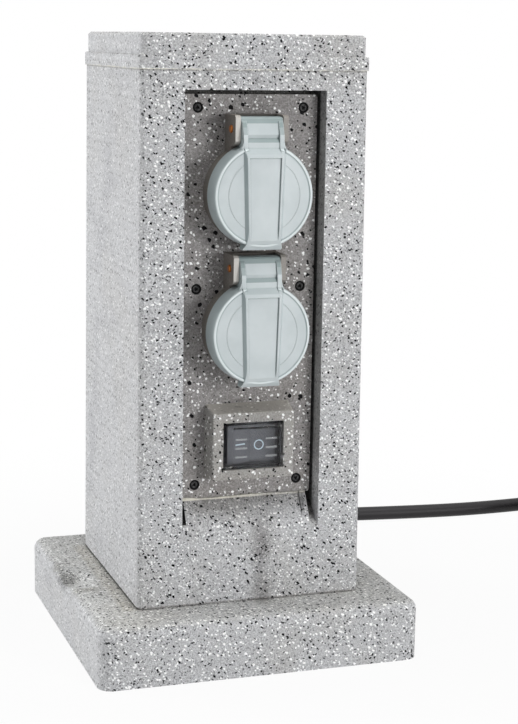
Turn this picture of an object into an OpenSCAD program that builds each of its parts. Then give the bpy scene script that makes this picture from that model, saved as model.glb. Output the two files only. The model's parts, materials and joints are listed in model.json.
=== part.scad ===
// Garden socket post: a square stone-look column on a base plate. A recess in its front holds a panel
// with two hinged socket lids and a switch under a clear cover.
// Millimetres, +Z up, front towards -Y, origin on the floor under the middle of the base.

/* [Post] */
// Height from the floor to the top of the cap
post_h = 300; // [290:1:340]
// Width and depth of the base plate
base_w = 160; // [150:1:200]
// Height of the base plate
base_h = 29.5; // [27:0.5:34]
// Rounding of the base plate's upright corners
base_corner_r = 7; // [5:0.5:12]
// Rounding of the base plate's top edges
base_edge_r = 5; // [2:0.5:6]
// Width of the column at its foot
col_foot_w = 112.8; // [110:0.2:118]
// How much narrower the column is under the cap than at its foot
col_taper = 2.4; // [0:0.2:6]
// Rounding of the column's upright edges
col_edge_r = 3; // [1.5:0.5:5]
// Wall thickness of the column and the cap
col_wall = 4; // [3:0.5:5]
// Wall thickness of the base plate
base_wall = 4.5; // [3.5:0.5:6]

/* [Cap] */
// Height of the cap
cap_h = 16.4; // [14:0.2:22]
// How far the cap's block stays inside the column's top edge
cap_in = 0.7; // [0:0.1:2]
// Height of the bead round the cap's lower edge
bead_h = 6.4; // [4:0.2:9]
// How far the bead stands out over the column's top edge
bead_out = 0.7; // [0.4:0.1:2]
// Depth of the cap's spigot inside the column
spigot_h = 5; // [3.5:0.5:5]

/* [Panel] */
// Width of the socket panel
panel_w = 65.5; // [64:0.5:70]
// Height of the socket panel
panel_h = 192.4; // [188:0.2:196]
// Thickness of the socket panel
panel_t = 3; // [2.6:0.2:4]
// Distance of the panel's upper edge under the cap
panel_drop = 11.2; // [11:0.2:14]
// Depth of the panel's face behind the column's face at mid height
recess_depth = 8.6; // [7:0.2:11]
// Gap between the panel and the recess wall
panel_gap = 1.6; // [1:0.1:2.5]
// Thickness of the foam seal behind the panel
gasket_t = 1.2; // [0.8:0.1:2]
// Width of the ledge behind the panel
ledge_w = 5; // [4:0.2:6]
// Thickness of the ledge and of the recess walls
ledge_t = 3.5; // [3:0.1:5]
// Distance of the panel screws from the side and lower edges
screw_inset = 6.9; // [6.4:0.1:7.4]
// Distance of the upper panel screws from the top edge
top_screw_inset = 6.1; // [5.8:0.1:7]
// Height of the middle panel screws over the panel's lower edge
mid_screw_h = 101.7; // [98:0.2:105]
// Diameter of a panel screw's head
screw_head_d = 4.8; // [4.6:0.1:5.6]
// Diameter of a panel screw's shank
screw_d = 3; // [2.6:0.1:3.4]

/* [Sockets] */
// Height of the lower socket's centre over the panel's lower edge
socket_h = 82.5; // [81:0.1:84]
// Distance between the two sockets
socket_pitch = 64.4; // [63.6:0.1:67]
// Inner diameter of a socket cup
cup_d = 39.8; // [39:0.1:40.4]
// Depth of a socket cup
cup_depth = 17.6; // [17:0.1:19]
// Wall of the cup
cup_wall = 1.3; // [1:0.1:1.6]
// Outer diameter of the collar that carries the lid
collar_d = 46.4; // [45.8:0.1:47]
// Height of the collar over the panel
collar_h = 10; // [8.5:0.1:10.4]
// Distance between the two pin holes
pin_pitch = 19; // [18.8:0.1:19.2]
// Diameter of a pin hole
pin_hole_d = 5.4; // [5:0.1:6]

/* [Lids] */
// Diameter of a lid at its rim
lid_d = 48.6; // [47.8:0.1:48.8]
// Thickness of a lid, from rim to face
lid_t = 10.8; // [9.5:0.1:11.4]
// Narrowing of the lid from rim to face, on the diameter
lid_draft = 1; // [0.4:0.1:2]
// Height of the hinge axis over the socket's centre
hinge_rise = 30.1; // [29.6:0.1:30.6]
// Distance of the hinge axis from the panel
hinge_out = 10.7; // [10.5:0.1:11.2]
// Width of the lid's hinge arm
arm_w = 20.2; // [18:0.2:21]
// Thickness of each cheek of the hinge block
cheek_t = 2.5; // [2:0.1:3.2]
// Diameter of the hinge pin
hinge_pin_d = 3.6; // [3:0.1:3.8]
// Width of the strap's foot on the lid's face, at its upper end
strap_top_w = 20.2; // [18:0.2:20.2]
// Width of the strap's foot on the lid's face, at its lower end
strap_foot_w = 17; // [14:0.2:18]
// Height of the strap over the lid's face
strap_out = 1.7; // [1:0.1:2]
// Radial running clearance on the hinge pins
pin_clear = 0.07; // [0.04:0.01:0.1]

/* [Switch] */
// Height of the switch's centre over the panel's lower edge
switch_h = 27.3; // [27:0.1:29]
// Width of the frame's front face
frame_w = 40.4; // [39.6:0.1:41.6]
// Height of the frame's front face
frame_h = 32.6; // [32:0.1:33.4]
// How far the frame stands out from the panel
frame_out = 11.2; // [10:0.1:12.6]
// How much wider the frame is at its foot, on each side
frame_draft = 1.1; // [0.5:0.1:1.3]
// How far the frame's foot reaches over its front face, at the top
frame_top_draft = 2.6; // [1:0.1:3.2]
// Width of the window in the frame
window_w = 30.2; // [29.8:0.1:30.8]
// Height of the window in the frame
window_h = 23; // [22.8:0.1:23.4]
// How far the clear cover stands out from the frame
cover_out = 4.3; // [3:0.1:5]
// Wall of the clear cover
cover_wall = 0.9; // [0.7:0.1:1.2]
// Length of the rocker's button
rocker_w = 25.8; // [24:0.1:26.2]
// Height of the rocker's button
rocker_h = 19; // [17:0.1:19.4]
// Tilt of the rocker to each side
rocker_tilt = 9; // [6:0.5:9]

/* [Cable] */
// Diameter of the mains cord
cord_d = 8.4; // [7.6:0.1:8.8]
// Height of the gland over the base plate
gland_h = 16.5; // [14:0.5:20]
// Diameter of the gland's thread
gland_d = 16; // [15:0.5:18]
// Length of the tapered strain relief
relief_l = 26; // [24:1:30]
// Diameter of the plug's body
plug_d = 38; // [36:0.5:39]
// Length of a plug pin
plug_pin_l = 19; // [18:0.5:19]

/* [Hidden] */
$fn = 48;

// Small fits
fit = 0.1;
seat = 0.3;
slack = 0.5;
over = 1;

// Column and recess
cap_z = post_h - cap_h;
panel_z = cap_z - panel_drop - panel_h;
col_h = cap_z - base_h;
col_top_w = col_foot_w - col_taper;
foot_bevel = 0.7;
col_mid_w = (col_foot_w + col_top_w) / 2;
panel_y = recess_depth - col_mid_w / 2;
ledge_y = panel_y + panel_t + gasket_t;
ledge_back_y = ledge_y + ledge_t;
recess_w = panel_w + 2 * panel_gap + 0.1;
panel_top = panel_z + panel_h;
recess_top = panel_top + panel_gap + slack;
panel_corner_r = 1.5;
gasket_inset = 0.5;
screw_x = panel_w / 2 - screw_inset;
screw_zs = [panel_z + screw_inset, panel_z + mid_screw_h, panel_top - top_screw_inset];
screw_turns = [[22, 50], [85, 15], [0, -35]];
screw_boss_r = screw_d / 2 + 2.9;
screw_boss_l = 9;
screw_head_t = 1.5;
screw_sink = 0.35;
screw_rim = 0.8;
rim_sink = 0.45;
head_clear = 0.15;

// Ramp under the panel
ramp_top = panel_z - 0.4;
ramp_drop = 17.6;
ramp_steps = 12;
groove_w = 4.1;
groove_drop = 15;
groove_step = 4;
slit_w = 2.3;
slit_drop = 10.5;
rib_r = 1.6;
rib_drop = 10;
lip_t = 0.9;
lip_gap = 0.15;

// Hand-chosen upper edge of the ramp's lip: place across the post, height over the panel's lower edge
lip_line = [[-35, 0.9], [-29, 0.8], [-24, 0.3], [-18, 0.2], [-10, 0.4], [0, 0.7], [12, 0.7],
    [20, 0.35], [27, 0.5], [35, 0.9]];

// Hand-chosen dents in the base's left edge: place, radius of the hollow, depth
base_dents = [[[-0.99, 0.02], 40, 2.8], [[-0.9, -0.12], 16, 1.5], [[-0.985, 0.17], 20, 2.2]];

// Base and cap
boss_r = 5.5;
boss_h = 22;
base_screw_d = 4;
base_screw_l = 20;
base_screw_inset = 12;
ring_h = 5;
ring_t = 3;
cap_edge_r = 1.2;

// Switch
switch_z = panel_z + switch_h;
frame_wall = 2;
frame_side = 3;
bezel_t = 2;
bezel_gap = 1;
body_gap = 0.2;
body_depth = 22;
skirt_t = 1.6;
flange_t = 1.2;
frame_screw_d = 2;
frame_screw_l = 5;
frame_screw_x = frame_w / 2 - 1.3;
frame_screw_z = frame_h / 2 - 1.2;
rocker_axis_out = 0.5;
rocker_top = 4;
rocker_rise = tan(rocker_tilt) * rocker_w / 2;
pivot_r = 1.5;

// Sockets and lids
socket_zs = [panel_z + socket_h + socket_pitch, panel_z + socket_h];
cup_r = cup_d / 2;
collar_r = collar_d / 2;
cup_floor_t = 3;
shoulder_t = 5.2;
body_w = 34;
body_h = 34;
body_l = 24;
contact_r = 3.4;
contact_wall = 0.8;
contact_l = 17;
ear_out = 27;
ear_r = 4;
shoulder_r = ear_out - ear_r - seat;
socket_screw_d = 2.6;
strip_t = 0.8;
strip_w = 6;
lid_back = collar_h + seat;
block_w = arm_w + 2 * cheek_t + 0.4;
block_out = hinge_out + 5.8;
block_top = 6.5;
knuckle_r = 5.8;
pocket_r = knuckle_r + 0.8;
swing_r = knuckle_r + 2;
cheek_r = 7.9;
pin_end = 0.6;
lid_gap = 0.6;
strap_slope = 1.1;
strap_rib_w = 1.3;
strap_rib_h = 0.9;
spring_r = 2.45;
spring_wire = 0.6;
spring_turns = 8;
spring_pitch = 1.1;
lid_skin = 2.2;
bead_step = 0.35;
line_deep = 0.1;
disc_cut = 10.6;
foot_out = 0.7;
tab_out = 0.9;
seal_t = 2;
seal_in_r = cup_r - 0.3;
seal_out_r = collar_r - 0.4;

// Cable and plug
cord_r = cord_d / 2;
gland_z = base_h + gland_h;
gland_face_y = col_half(gland_z) + fit;
gland_head_l = 4.5;
relief_y = gland_face_y + gland_head_l;
cord_start_y = relief_y + relief_l;
inner_end_y = 22;
coil_x = 290;
coil_y = 95;
coil_z = cord_r + 1;
coil_r = 54.3;
coil_pitch = 8.9;
coil_turns_in = 1.6875;
coil_turns = 2 * coil_turns_in;
coil_steps = 24;
coil_exit = 90 - coil_turns * 360;
coil_end = [coil_x + coil_r * cos(coil_exit), coil_y + coil_r * sin(coil_exit), coil_z + coil_pitch];
coil_heading = coil_exit - 90;
plug_z = plug_d / 2;
to_plug = 82;
plug_at = [coil_end[0], coil_end[1], 0] + to_plug * [cos(coil_heading), sin(coil_heading), 0];
tie_t = 0.8;
tie_w = 9;
tie_angle = 200;

// Hand-chosen route of the mains cord from the strain relief to the coil
cord_route = [
    [0, 10, 0], [0.5, 20, -1], [3, 31, -4], [9, 42, -10], [19, 53, -17.5], [33, 62, -26],
    [50, 68.5, -33], [69, 72.5, -38], [90, 74.5, -40.8], [112, 74, -41.7], [135, 71.5, -41.8],
    [160, 68, -41.8], [185, 65, -41.8], [210, 63, -41.8], [235, 62.3, -41.6], [262, 62.2, -41.1]];

// Half the column's width at a height
function col_half(z) = (col_foot_w + (col_top_w - col_foot_w) * (z - base_h) / col_h) / 2;

// Depth of the ramp's surface: steepest under the panel, and running out smoothly into the face
function ramp_y(z) =
    let (s = (ramp_top - z) / ramp_drop,
        top = panel_y - lip_gap - lip_t,
        foot = -col_half(ramp_top - ramp_drop))
    foot + (top - foot) * pow(1 - s, 1.7);

function ramp_points() = [for (i = [0:ramp_steps])
    let (z = ramp_top - ramp_drop * i / ramp_steps) [ramp_y(z), z]];

// Points of a tube: rings round a path, with each ring square to the path
function unit(v) = v / norm(v);
function heading(path, i) = unit(path[min(i + 1, len(path) - 1)] - path[max(i - 1, 0)]);
function side_of(t) = abs(t[2]) > 0.9 ? unit(cross(t, [0, 1, 0])) : unit(cross(t, [0, 0, 1]));
function ring(p, t, r, sides) =
    let (n = side_of(t), b = cross(n, t))
    [for (k = [0:sides - 1]) p + r * (cos(360 * k / sides) * n + sin(360 * k / sides) * b)];

module tube(path, r, sides, first = undef, last = undef) {
    count = len(path);
    rings = [for (i = [0:count - 1])
        let (given = i == 0 ? first : i == count - 1 ? last : undef)
        each ring(path[i], given != undef ? given : heading(path, i), r, sides)];
    walls = [for (i = [0:count - 2], k = [0:sides - 1])
        let (a = i * sides + k, b = i * sides + (k + 1) % sides)
        each [[a, b, b + sides], [a, b + sides, a + sides]]];
    start = [for (k = [1:sides - 2]) [0, k + 1, k]];
    end = (count - 1) * sides;
    stop = [for (k = [1:sides - 2]) [end, end + k, end + k + 1]];
    polyhedron(concat([for (p = rings) p]), concat(start, walls, stop));
}

// Flat outline with round corners
module round_rect(w, h, r) {
    square([w - 2 * r, h], center = true);
    square([w, h - 2 * r], center = true);
    for (x = [-1, 1], y = [-1, 1])
        translate([x * (w / 2 - r), y * (h / 2 - r)]) circle(r);
}

// Plate in the XZ plane, from y0 back to y1
module plate(w, h, r, y0, y1, z) {
    translate([0, y1, z]) rotate([90, 0, 0]) linear_extrude(y1 - y0) round_rect(w, h, r);
}

// Round bar along Y, from y0 back to y1
module bar_y(r, y0, y1, x, z) {
    translate([x, y1, z]) rotate([90, 0, 0]) cylinder(r = r, h = y1 - y0);
}

// Round bar along X, its middle over x = 0
module bar_x(r, w, y, z) {
    translate([-w / 2, y, z]) rotate([0, 90, 0]) cylinder(r = r, h = w);
}

// Profile in the YZ plane, drawn out along X
module along_x(x0, x1) {
    translate([x0, 0, 0]) rotate([90, 0, 90]) linear_extrude(x1 - x0) children();
}

module column_block(inset, z0, z1) {
    r = max(col_edge_r - inset, 0.8);
    hull() for (z = [z0, z1 - 0.01]) {
        w = 2 * (col_half(z) - inset);
        translate([0, 0, z]) linear_extrude(0.01) round_rect(w, w, r);
    }
}

module base_block(w, h, corner_r, edge_r) {
    hull() {
        linear_extrude(0.01) round_rect(w, w, corner_r);
        for (x = [-1, 1], y = [-1, 1])
            translate([x * (w / 2 - corner_r), y * (w / 2 - corner_r), h - edge_r])
                rotate_extrude($fn = 32) union() {
                    translate([corner_r - edge_r, 0]) intersection() {
                        circle(edge_r, $fn = 32);
                        square(edge_r);
                    }
                    square([max(corner_r - edge_r, 0.01), edge_r]);
                }
    }
}

module base_screw_places() {
    for (x = [-1, 1], y = [-1, 1])
        translate([x, y, 0] * (col_foot_w / 2 - base_screw_inset)) children();
}

module base_plate() color([0.62, 0.62, 0.61]) {
    inner = col_foot_w - 2 * col_wall - 2 * slack;
    hollow = base_w - 2 * base_wall;
    difference() {
        union() {
            difference() {
                base_block(base_w, base_h, base_corner_r, base_edge_r);
                translate([0, 0, -over]) linear_extrude(base_h - base_wall + over)
                    round_rect(hollow, hollow, base_corner_r - base_wall + 1);
            }
            // Ring that locates the column
            translate([0, 0, base_h - over]) linear_extrude(ring_h + over) difference() {
                round_rect(inner, inner, 1);
                round_rect(inner - 2 * ring_t, inner - 2 * ring_t, 1);
            }
        }
        for (d = base_dents)
            translate([d[0][0] * base_w / 2, d[0][1] * base_w / 2, base_h + d[1] - d[2]])
                sphere(d[1], $fn = 96);
        base_screw_places() {
            cylinder(r = base_screw_d / 2 + 0.3, h = base_h + ring_h + 2);
            translate([0, 0, base_h - 0.01]) cylinder(r = boss_r + slack, h = ring_h + 2);
        }
    }
}

module base_screws() color([0.45, 0.45, 0.47])
    base_screw_places() translate([0, 0, base_h - base_wall]) {
        translate([0, 0, -3]) difference() {
            cylinder(r = base_screw_d, h = 3);
            for (a = [0, 90]) rotate([0, 0, a]) translate([-2.4, -0.5, -0.01]) cube([4.8, 1, 1.6]);
        }
        cylinder(r = base_screw_d / 2, h = base_screw_l);
    }

module screw_places() {
    for (i = [0:2], s = [0, 1])
        translate([(2 * s - 1) * screw_x, 0, screw_zs[i]]) rotate([0, screw_turns[i][s], 0]) children();
}

module column_shell() color([0.64, 0.64, 0.63]) {
    half = recess_w / 2;
    foot = ramp_top - ramp_drop;
    window_w = panel_w - 2 * ledge_w;
    window_z0 = panel_z + ledge_w;
    window_z1 = panel_top - ledge_w;
    lip_z = panel_z + 1;
    slit_x = half - groove_w - 2 * rib_r;
    rib_low = ramp_top - rib_drop;
    difference() {
        hull() {
            column_block(foot_bevel, base_h, base_h + foot_bevel);
            column_block(0, base_h + foot_bevel, cap_z);
        }
        // Hollow inside, round what stays solid
        difference() {
            column_block(col_wall, base_h - over, cap_z + over);
            along_x(-half - ledge_t, half + ledge_t) polygon([
                [-col_foot_w / 2, foot - 4], [ledge_back_y, ramp_top - 6],
                [ledge_back_y, recess_top + ledge_t], [-col_foot_w / 2, recess_top + ledge_t]]);
            screw_places() bar_y(screw_boss_r, ledge_back_y - over, ledge_back_y + screw_boss_l, 0, 0);
            base_screw_places() translate([0, 0, base_h]) cylinder(r = boss_r, h = boss_h);
            for (x = [-1, 1], y = [-1, 1])
                translate([x, y, 0] * (col_foot_w / 2 - base_screw_inset / 2) + [0, 0, base_h + ring_h + 1])
                    rotate([0, 0, atan2(y, x)]) translate([-6, -1.5, 0]) cube([12, 3, boss_h - ring_h - 1]);
        }
        // Recess with the panel's seat
        along_x(-half, half) polygon([[-col_foot_w, lip_z], [panel_y - lip_gap, lip_z],
            [panel_y - lip_gap, ramp_top], [ledge_y, ramp_top],
            [ledge_y, recess_top], [-col_foot_w, recess_top]]);
        // Grooves beside the ramp
        ramp_groove(-half, slit_w - half, slit_drop);
        ramp_groove(half - groove_w, half, groove_drop);
        // Ramp
        along_x(-half + slit_w - 0.01, half - groove_w + 0.01)
            polygon(concat([[-col_foot_w, lip_z + over], [ramp_y(ramp_top), lip_z + over]],
                ramp_points(), [[-col_foot_w, foot]]));
        // Uneven upper edge of the ramp's lip
        translate([0, panel_y, 0]) rotate([90, 0, 0]) linear_extrude(lip_t + 2)
            polygon(concat([for (p = lip_line) [p[0], panel_z + p[1]]],
                [[half, lip_z + over], [-half, lip_z + over]]));
        // Slit beside the rib
        along_x(slit_x - 0.6, slit_x)
            polygon([[-col_foot_w, lip_z + over], [ramp_y(ramp_top) + rib_r, lip_z + over],
                [ramp_y(ramp_top - rib_drop / 2) + rib_r, ramp_top - rib_drop / 2],
                [ramp_y(rib_low), rib_low], [-col_foot_w, rib_low]]);
        // Window in the ledge, round the screw bosses
        difference() {
            translate([-window_w / 2, ledge_y - over, window_z0])
                cube([window_w, ledge_t + 2 * over, window_z1 - window_z0]);
            screw_places() bar_y(screw_boss_r, ledge_y - 2 * over, ledge_back_y + 2 * over, 0, 0);
        }
        screw_places() bar_y(screw_d / 2 + 0.02, ledge_y - over, ledge_back_y + screw_boss_l - 2, 0, 0);
        base_screw_places() translate([0, 0, base_h - over])
            cylinder(r = base_screw_d / 2 + 0.02, h = base_screw_l + over);
        // Gland hole in the back
        bar_y(gland_d / 2 + 0.2, col_foot_w / 2 - col_wall - 2, col_foot_w / 2 + 2, 0, gland_z);
    }
    // Rib at the right end of the ramp
    intersection() {
        hull() {
            translate([slit_x + rib_r, ramp_y(ramp_top) + 0.4, ramp_top - 0.2]) sphere(rib_r, $fn = 24);
            translate([slit_x + rib_r, ramp_y(rib_low) + rib_r, rib_low]) sphere(rib_r, $fn = 24);
        }
        translate([0, -col_foot_w, ramp_top - 2 * rib_drop]) cube([half, 2 * col_foot_w, 2 * rib_drop]);
    }
}

// Groove at one end of the ramp, from the panel's seat out to the column's face
module ramp_groove(x0, x1, drop) {
    low = ramp_top - drop;
    along_x(x0, x1) polygon([[-col_foot_w, ramp_top + 2], [ledge_y, ramp_top + 2],
        [ledge_y, ramp_top - groove_step], [-col_half(low), low], [-col_foot_w, low]]);
}

module top_cap() color([0.66, 0.66, 0.65]) {
    bead_w = col_top_w + 2 * bead_out;
    cap_w = col_top_w - 2 * cap_in;
    inner = col_top_w - 2 * col_wall - 2 * slack;
    difference() {
        union() {
            translate([0, 0, cap_z]) linear_extrude(bead_h - 0.4) round_rect(bead_w, bead_w, col_edge_r);
            hull() {
                translate([0, 0, cap_z + bead_h - 0.4]) linear_extrude(0.01)
                    round_rect(bead_w, bead_w, col_edge_r);
                translate([0, 0, cap_z + bead_h]) linear_extrude(0.01)
                    round_rect(bead_w - 0.8, bead_w - 0.8, col_edge_r - 0.4);
            }
            hull() {
                translate([0, 0, cap_z + 1]) linear_extrude(post_h - cap_z - 1 - cap_edge_r)
                    round_rect(cap_w, cap_w, col_edge_r);
                translate([0, 0, post_h - 0.01]) linear_extrude(0.01)
                    round_rect(cap_w - 2 * cap_edge_r, cap_w - 2 * cap_edge_r, col_edge_r - 0.5);
            }
            // Spigot inside the column
            translate([0, 0, cap_z - spigot_h]) linear_extrude(spigot_h + over) round_rect(inner, inner, 1);
        }
        translate([0, 0, cap_z - spigot_h - over]) linear_extrude(spigot_h + over + cap_h - col_wall)
            round_rect(inner - 2 * ring_t, inner - 2 * ring_t, 1);
    }
}

// Plate with the panel's outline, less an inset all round
module panel_plate(inset, y0, y1) {
    plate(panel_w - 2 * inset, panel_h - 2 * inset, panel_corner_r, y0, y1, panel_z + panel_h / 2);
}

module socket_panel() color([0.5, 0.49, 0.47])
    difference() {
        union() {
            panel_plate(0, panel_y, panel_y + panel_t);
            for (z = socket_zs) {
                bar_y(collar_r, panel_y - collar_h, panel_y + over, 0, z);
                hinge_block(z);
                for (s = [-1, 1]) bar_y(ear_r, panel_y + over, panel_y + panel_t + 3, 0, z + s * ear_out);
            }
        }
        for (z = socket_zs) {
            bar_y(cup_r + cup_wall + fit, panel_y - collar_h - over, panel_y + panel_t + over, 0, z);
            for (s = [-1, 1])
                bar_y(socket_screw_d / 2 + 0.02, panel_y + 1.2, panel_y + panel_t + 4, 0, z + s * ear_out);
        }
        screw_places() {
            bar_y(screw_head_d / 2 + head_clear, panel_y - over, panel_y + screw_head_t + screw_sink, 0, 0);
            bar_y(screw_d / 2 + 0.2, panel_y - over, panel_y + panel_t + over, 0, 0);
        }
        plate(window_w, window_h - 0.8, 0.6, panel_y - over, panel_y + panel_t + over, switch_z);
        for (x = [-1, 1], z = [-1, 1])
            bar_y(frame_screw_d / 2 + 0.2, panel_y - over, panel_y + panel_t + over,
                x * frame_screw_x, switch_z + z * frame_screw_z);
    }

// Hinge block over a socket: two cheeks, with a rounded pocket between them for the lid's knuckle
module hinge_block(z) {
    axis_y = panel_y - hinge_out;
    axis_z = z + hinge_rise;
    low = axis_z - 11.5;
    difference() {
        union() {
            translate([-block_w / 2, panel_y - collar_h, low])
                cube([block_w, collar_h + over, axis_z + block_top - low]);
            intersection() {
                translate([-block_w / 2, panel_y - block_out, low])
                    cube([block_w, block_out, axis_z + block_top - low]);
                bar_x(cheek_r, block_w, axis_y, axis_z);
            }
        }
        // Room for the lid's rim
        bar_y(lid_d / 2 + lid_gap, panel_y - block_out - over, panel_y - collar_h, 0, z);
        // Pocket for the knuckle, and the way in from the front
        bar_x(pocket_r, arm_w + 0.4, axis_y, axis_z);
        // Room above the axis for the corner of the arm as the lid opens
        intersection() {
            bar_x(swing_r, arm_w + 0.4, axis_y, axis_z);
            translate([-block_w, axis_y - swing_r, axis_z]) cube([2 * block_w, 2 * swing_r, swing_r]);
        }
        translate([-arm_w / 2 - 0.2, panel_y - block_out - over, low - over])
            cube([arm_w + 0.4, block_out - collar_h + over, axis_z + block_top - low + 2 * over]);
        bar_x(hinge_pin_d / 2 + 0.02, 2 * block_w, axis_y, axis_z);
    }
}

module panel_gasket() color([0.2, 0.2, 0.2]) {
    window_w = panel_w - 2 * ledge_w + 2 * seat;
    window_z0 = panel_z + ledge_w;
    window_z1 = panel_top - ledge_w;
    difference() {
        panel_plate(gasket_inset, ledge_y - gasket_t, ledge_y);
        difference() {
            translate([-window_w / 2, panel_y, window_z0 - seat])
                cube([window_w, panel_t + gasket_t + 2, window_z1 - window_z0 + 2 * seat]);
            screw_places() bar_y(screw_boss_r - seat, panel_y, ledge_y + 2, 0, 0);
        }
        screw_places() bar_y(screw_d / 2 + 0.4, panel_y, ledge_y + 2, 0, 0);
    }
}

// Sunk round head with a three-cornered drive recess
module panel_screws() color([0.08, 0.08, 0.08])
    screw_places() {
        head_y = panel_y + screw_sink;
        difference() {
            bar_y(screw_head_d / 2, head_y, head_y + screw_head_t, 0, 0);
            translate([0, head_y + 0.8, 0]) rotate([90, 0, 0]) rotate([0, 0, 90])
                cylinder(r = screw_head_d * 0.27, h = 2, $fn = 3);
            // Sunk rim round the raised middle
            difference() {
                bar_y(screw_head_d / 2 + over, head_y - over, head_y + rim_sink, 0, 0);
                bar_y(screw_head_d / 2 - screw_rim, head_y - 2 * over, head_y + over, 0, 0);
            }
        }
        bar_y(screw_d / 2, head_y + screw_head_t - 0.01, ledge_back_y + screw_boss_l - 3, 0, 0);
    }

// Cup behind a lid, with the pin holes in its floor and the contact chambers behind them
module socket_insert(z) color([0.72, 0.75, 0.74]) {
    rim_y = panel_y - collar_h + seat;
    floor_y = rim_y + cup_depth;
    back_y = panel_y + panel_t;
    difference() {
        union() {
            bar_y(cup_r + cup_wall, rim_y, floor_y + cup_floor_t, 0, z);
            difference() {
                union() {
                    bar_y(shoulder_r, back_y, back_y + shoulder_t, 0, z);
                    plate(2 * ear_r, 2 * ear_out, 0.5, back_y + 3, back_y + shoulder_t, z);
                    for (s = [-1, 1])
                        bar_y(ear_r, back_y + 3, back_y + shoulder_t, 0, z + s * ear_out);
                }
                bar_y(cup_r, back_y - over, back_y + shoulder_t + over, 0, z);
            }
            plate(body_w, body_h, 3, floor_y + 1, floor_y + body_l, z);
        }
        bar_y(cup_r, rim_y - over, floor_y, 0, z);
        for (s = [-1, 1]) {
            bar_y(pin_hole_d / 2, floor_y - over, floor_y + 4, s * pin_pitch / 2, z);
            bar_y(contact_r + fit, floor_y + cup_floor_t, floor_y + body_l + over, s * pin_pitch / 2, z);
            bar_y(socket_screw_d / 2 + 0.3, back_y, back_y + shoulder_t + over, 0, z + s * ear_out);
            // Slot for the earth finger
            translate([-strip_w / 2 - 0.2, floor_y - over, z + s * (body_h / 2 + 1) - 1])
                cube([strip_w + 0.4, cup_floor_t + 2 * over, 2]);
        }
        // Guide notches at the cup's sides
        for (s = [-1, 1])
            translate([s * (cup_r + 0.2) - 0.7, rim_y - over, z - 2.5]) cube([1.4, cup_depth, 5]);
    }
}

module contacts(z) color([0.85, 0.68, 0.35]) {
    back_y = panel_y - collar_h + seat + cup_depth + cup_floor_t;
    for (s = [-1, 1]) difference() {
        bar_y(contact_r, back_y + fit, back_y + contact_l, s * pin_pitch / 2, z);
        bar_y(contact_r - contact_wall, back_y, back_y + contact_l - 2, s * pin_pitch / 2, z);
    }
}

// Bent strip with a finger at the top and one at the bottom of the cup
module earth_clip(z) color([0.75, 0.75, 0.76]) {
    floor_y = panel_y - collar_h + seat + cup_depth;
    run = body_h / 2 + 1;
    back = floor_y + body_l;
    outer = [[back + strip_t, run + strip_t / 2], [floor_y - 1, run + strip_t / 2],
        [floor_y - 8, run - 1.4], [floor_y - 12, run + strip_t / 2]];
    inner = [[floor_y - 12.6, run - 0.2], [floor_y - 8, run - 2.3], [floor_y - 1, run - strip_t / 2],
        [back, run - strip_t / 2]];
    half = concat(outer, inner);
    translate([0, 0, z]) along_x(-strip_w / 2, strip_w / 2)
        polygon(concat(half, [for (i = [7:-1:0]) [half[i][0], -half[i][1]]]));
}

module socket_screws(z) color([0.5, 0.5, 0.52])
    for (s = [-1, 1]) {
        seat_y = panel_y + panel_t + shoulder_t;
        difference() {
            bar_y(socket_screw_d, seat_y, seat_y + 1.8, 0, z + s * ear_out);
            for (a = [0, 90]) translate([0, seat_y + 1.8, z + s * ear_out]) rotate([0, a, 0])
                translate([-1.7, -1, -0.3]) cube([3.4, 2, 0.6]);
        }
        bar_y(socket_screw_d / 2, panel_y + 1.6, seat_y + 0.01, 0, z + s * ear_out);
    }

module hinge_pin(z) color([0.72, 0.45, 0.25])
    translate([0, panel_y - hinge_out, z + hinge_rise]) rotate([0, 90, 0]) {
        cylinder(r = hinge_pin_d / 2, h = block_w + 2 * pin_end, center = true);
        for (s = [-1, 1]) translate([0, 0, s * (block_w / 2 + pin_end)]) scale_z(s)
            cylinder(r1 = hinge_pin_d / 2, r2 = hinge_pin_d / 2 - 0.4, h = 0.3);
    }

module scale_z(s) {
    if (s > 0) children();
    else mirror([0, 0, 1]) children();
}

// Closing spring: one unbroken wire wound round the hinge pin
spring_rings = spring_turns * 8;
spring_path = [for (i = [0:spring_rings])
    let (a = 45 * i, x = (i / spring_rings - 0.5) * spring_turns * spring_pitch)
    [x, spring_r * cos(a), spring_r * sin(a)]];

module lid_spring(z) color([0.7, 0.7, 0.72])
    translate([0, panel_y - hinge_out, z + hinge_rise]) tube_x(spring_path, spring_wire / 2, 6);

// Tube whose path winds round the X axis
module tube_x(path, r, sides) {
    rotate([0, 90, 0]) tube([for (p = path) [-p[2], p[1], p[0]]], r, sides);
}

// Side profile of the lid's arm and strap: y forward from the hinge axis, z up
module arm_profile() {
    front = lid_back + lid_t - hinge_out;
    union() {
        circle(knuckle_r, $fn = 64);
        polygon([[-(hinge_out - lid_back), -11.4], [-(hinge_out - lid_back), 0], [0, knuckle_r - 0.02],
            [4.3, 5.6], [5.2, 4.9], [6.1, 2.8], [7.7, -2.2], [7.1, -3.9], [8.5, -5.8], [8.5, -8.4],
            [front - 0.6, -11.4]]);
    }
}

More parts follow.
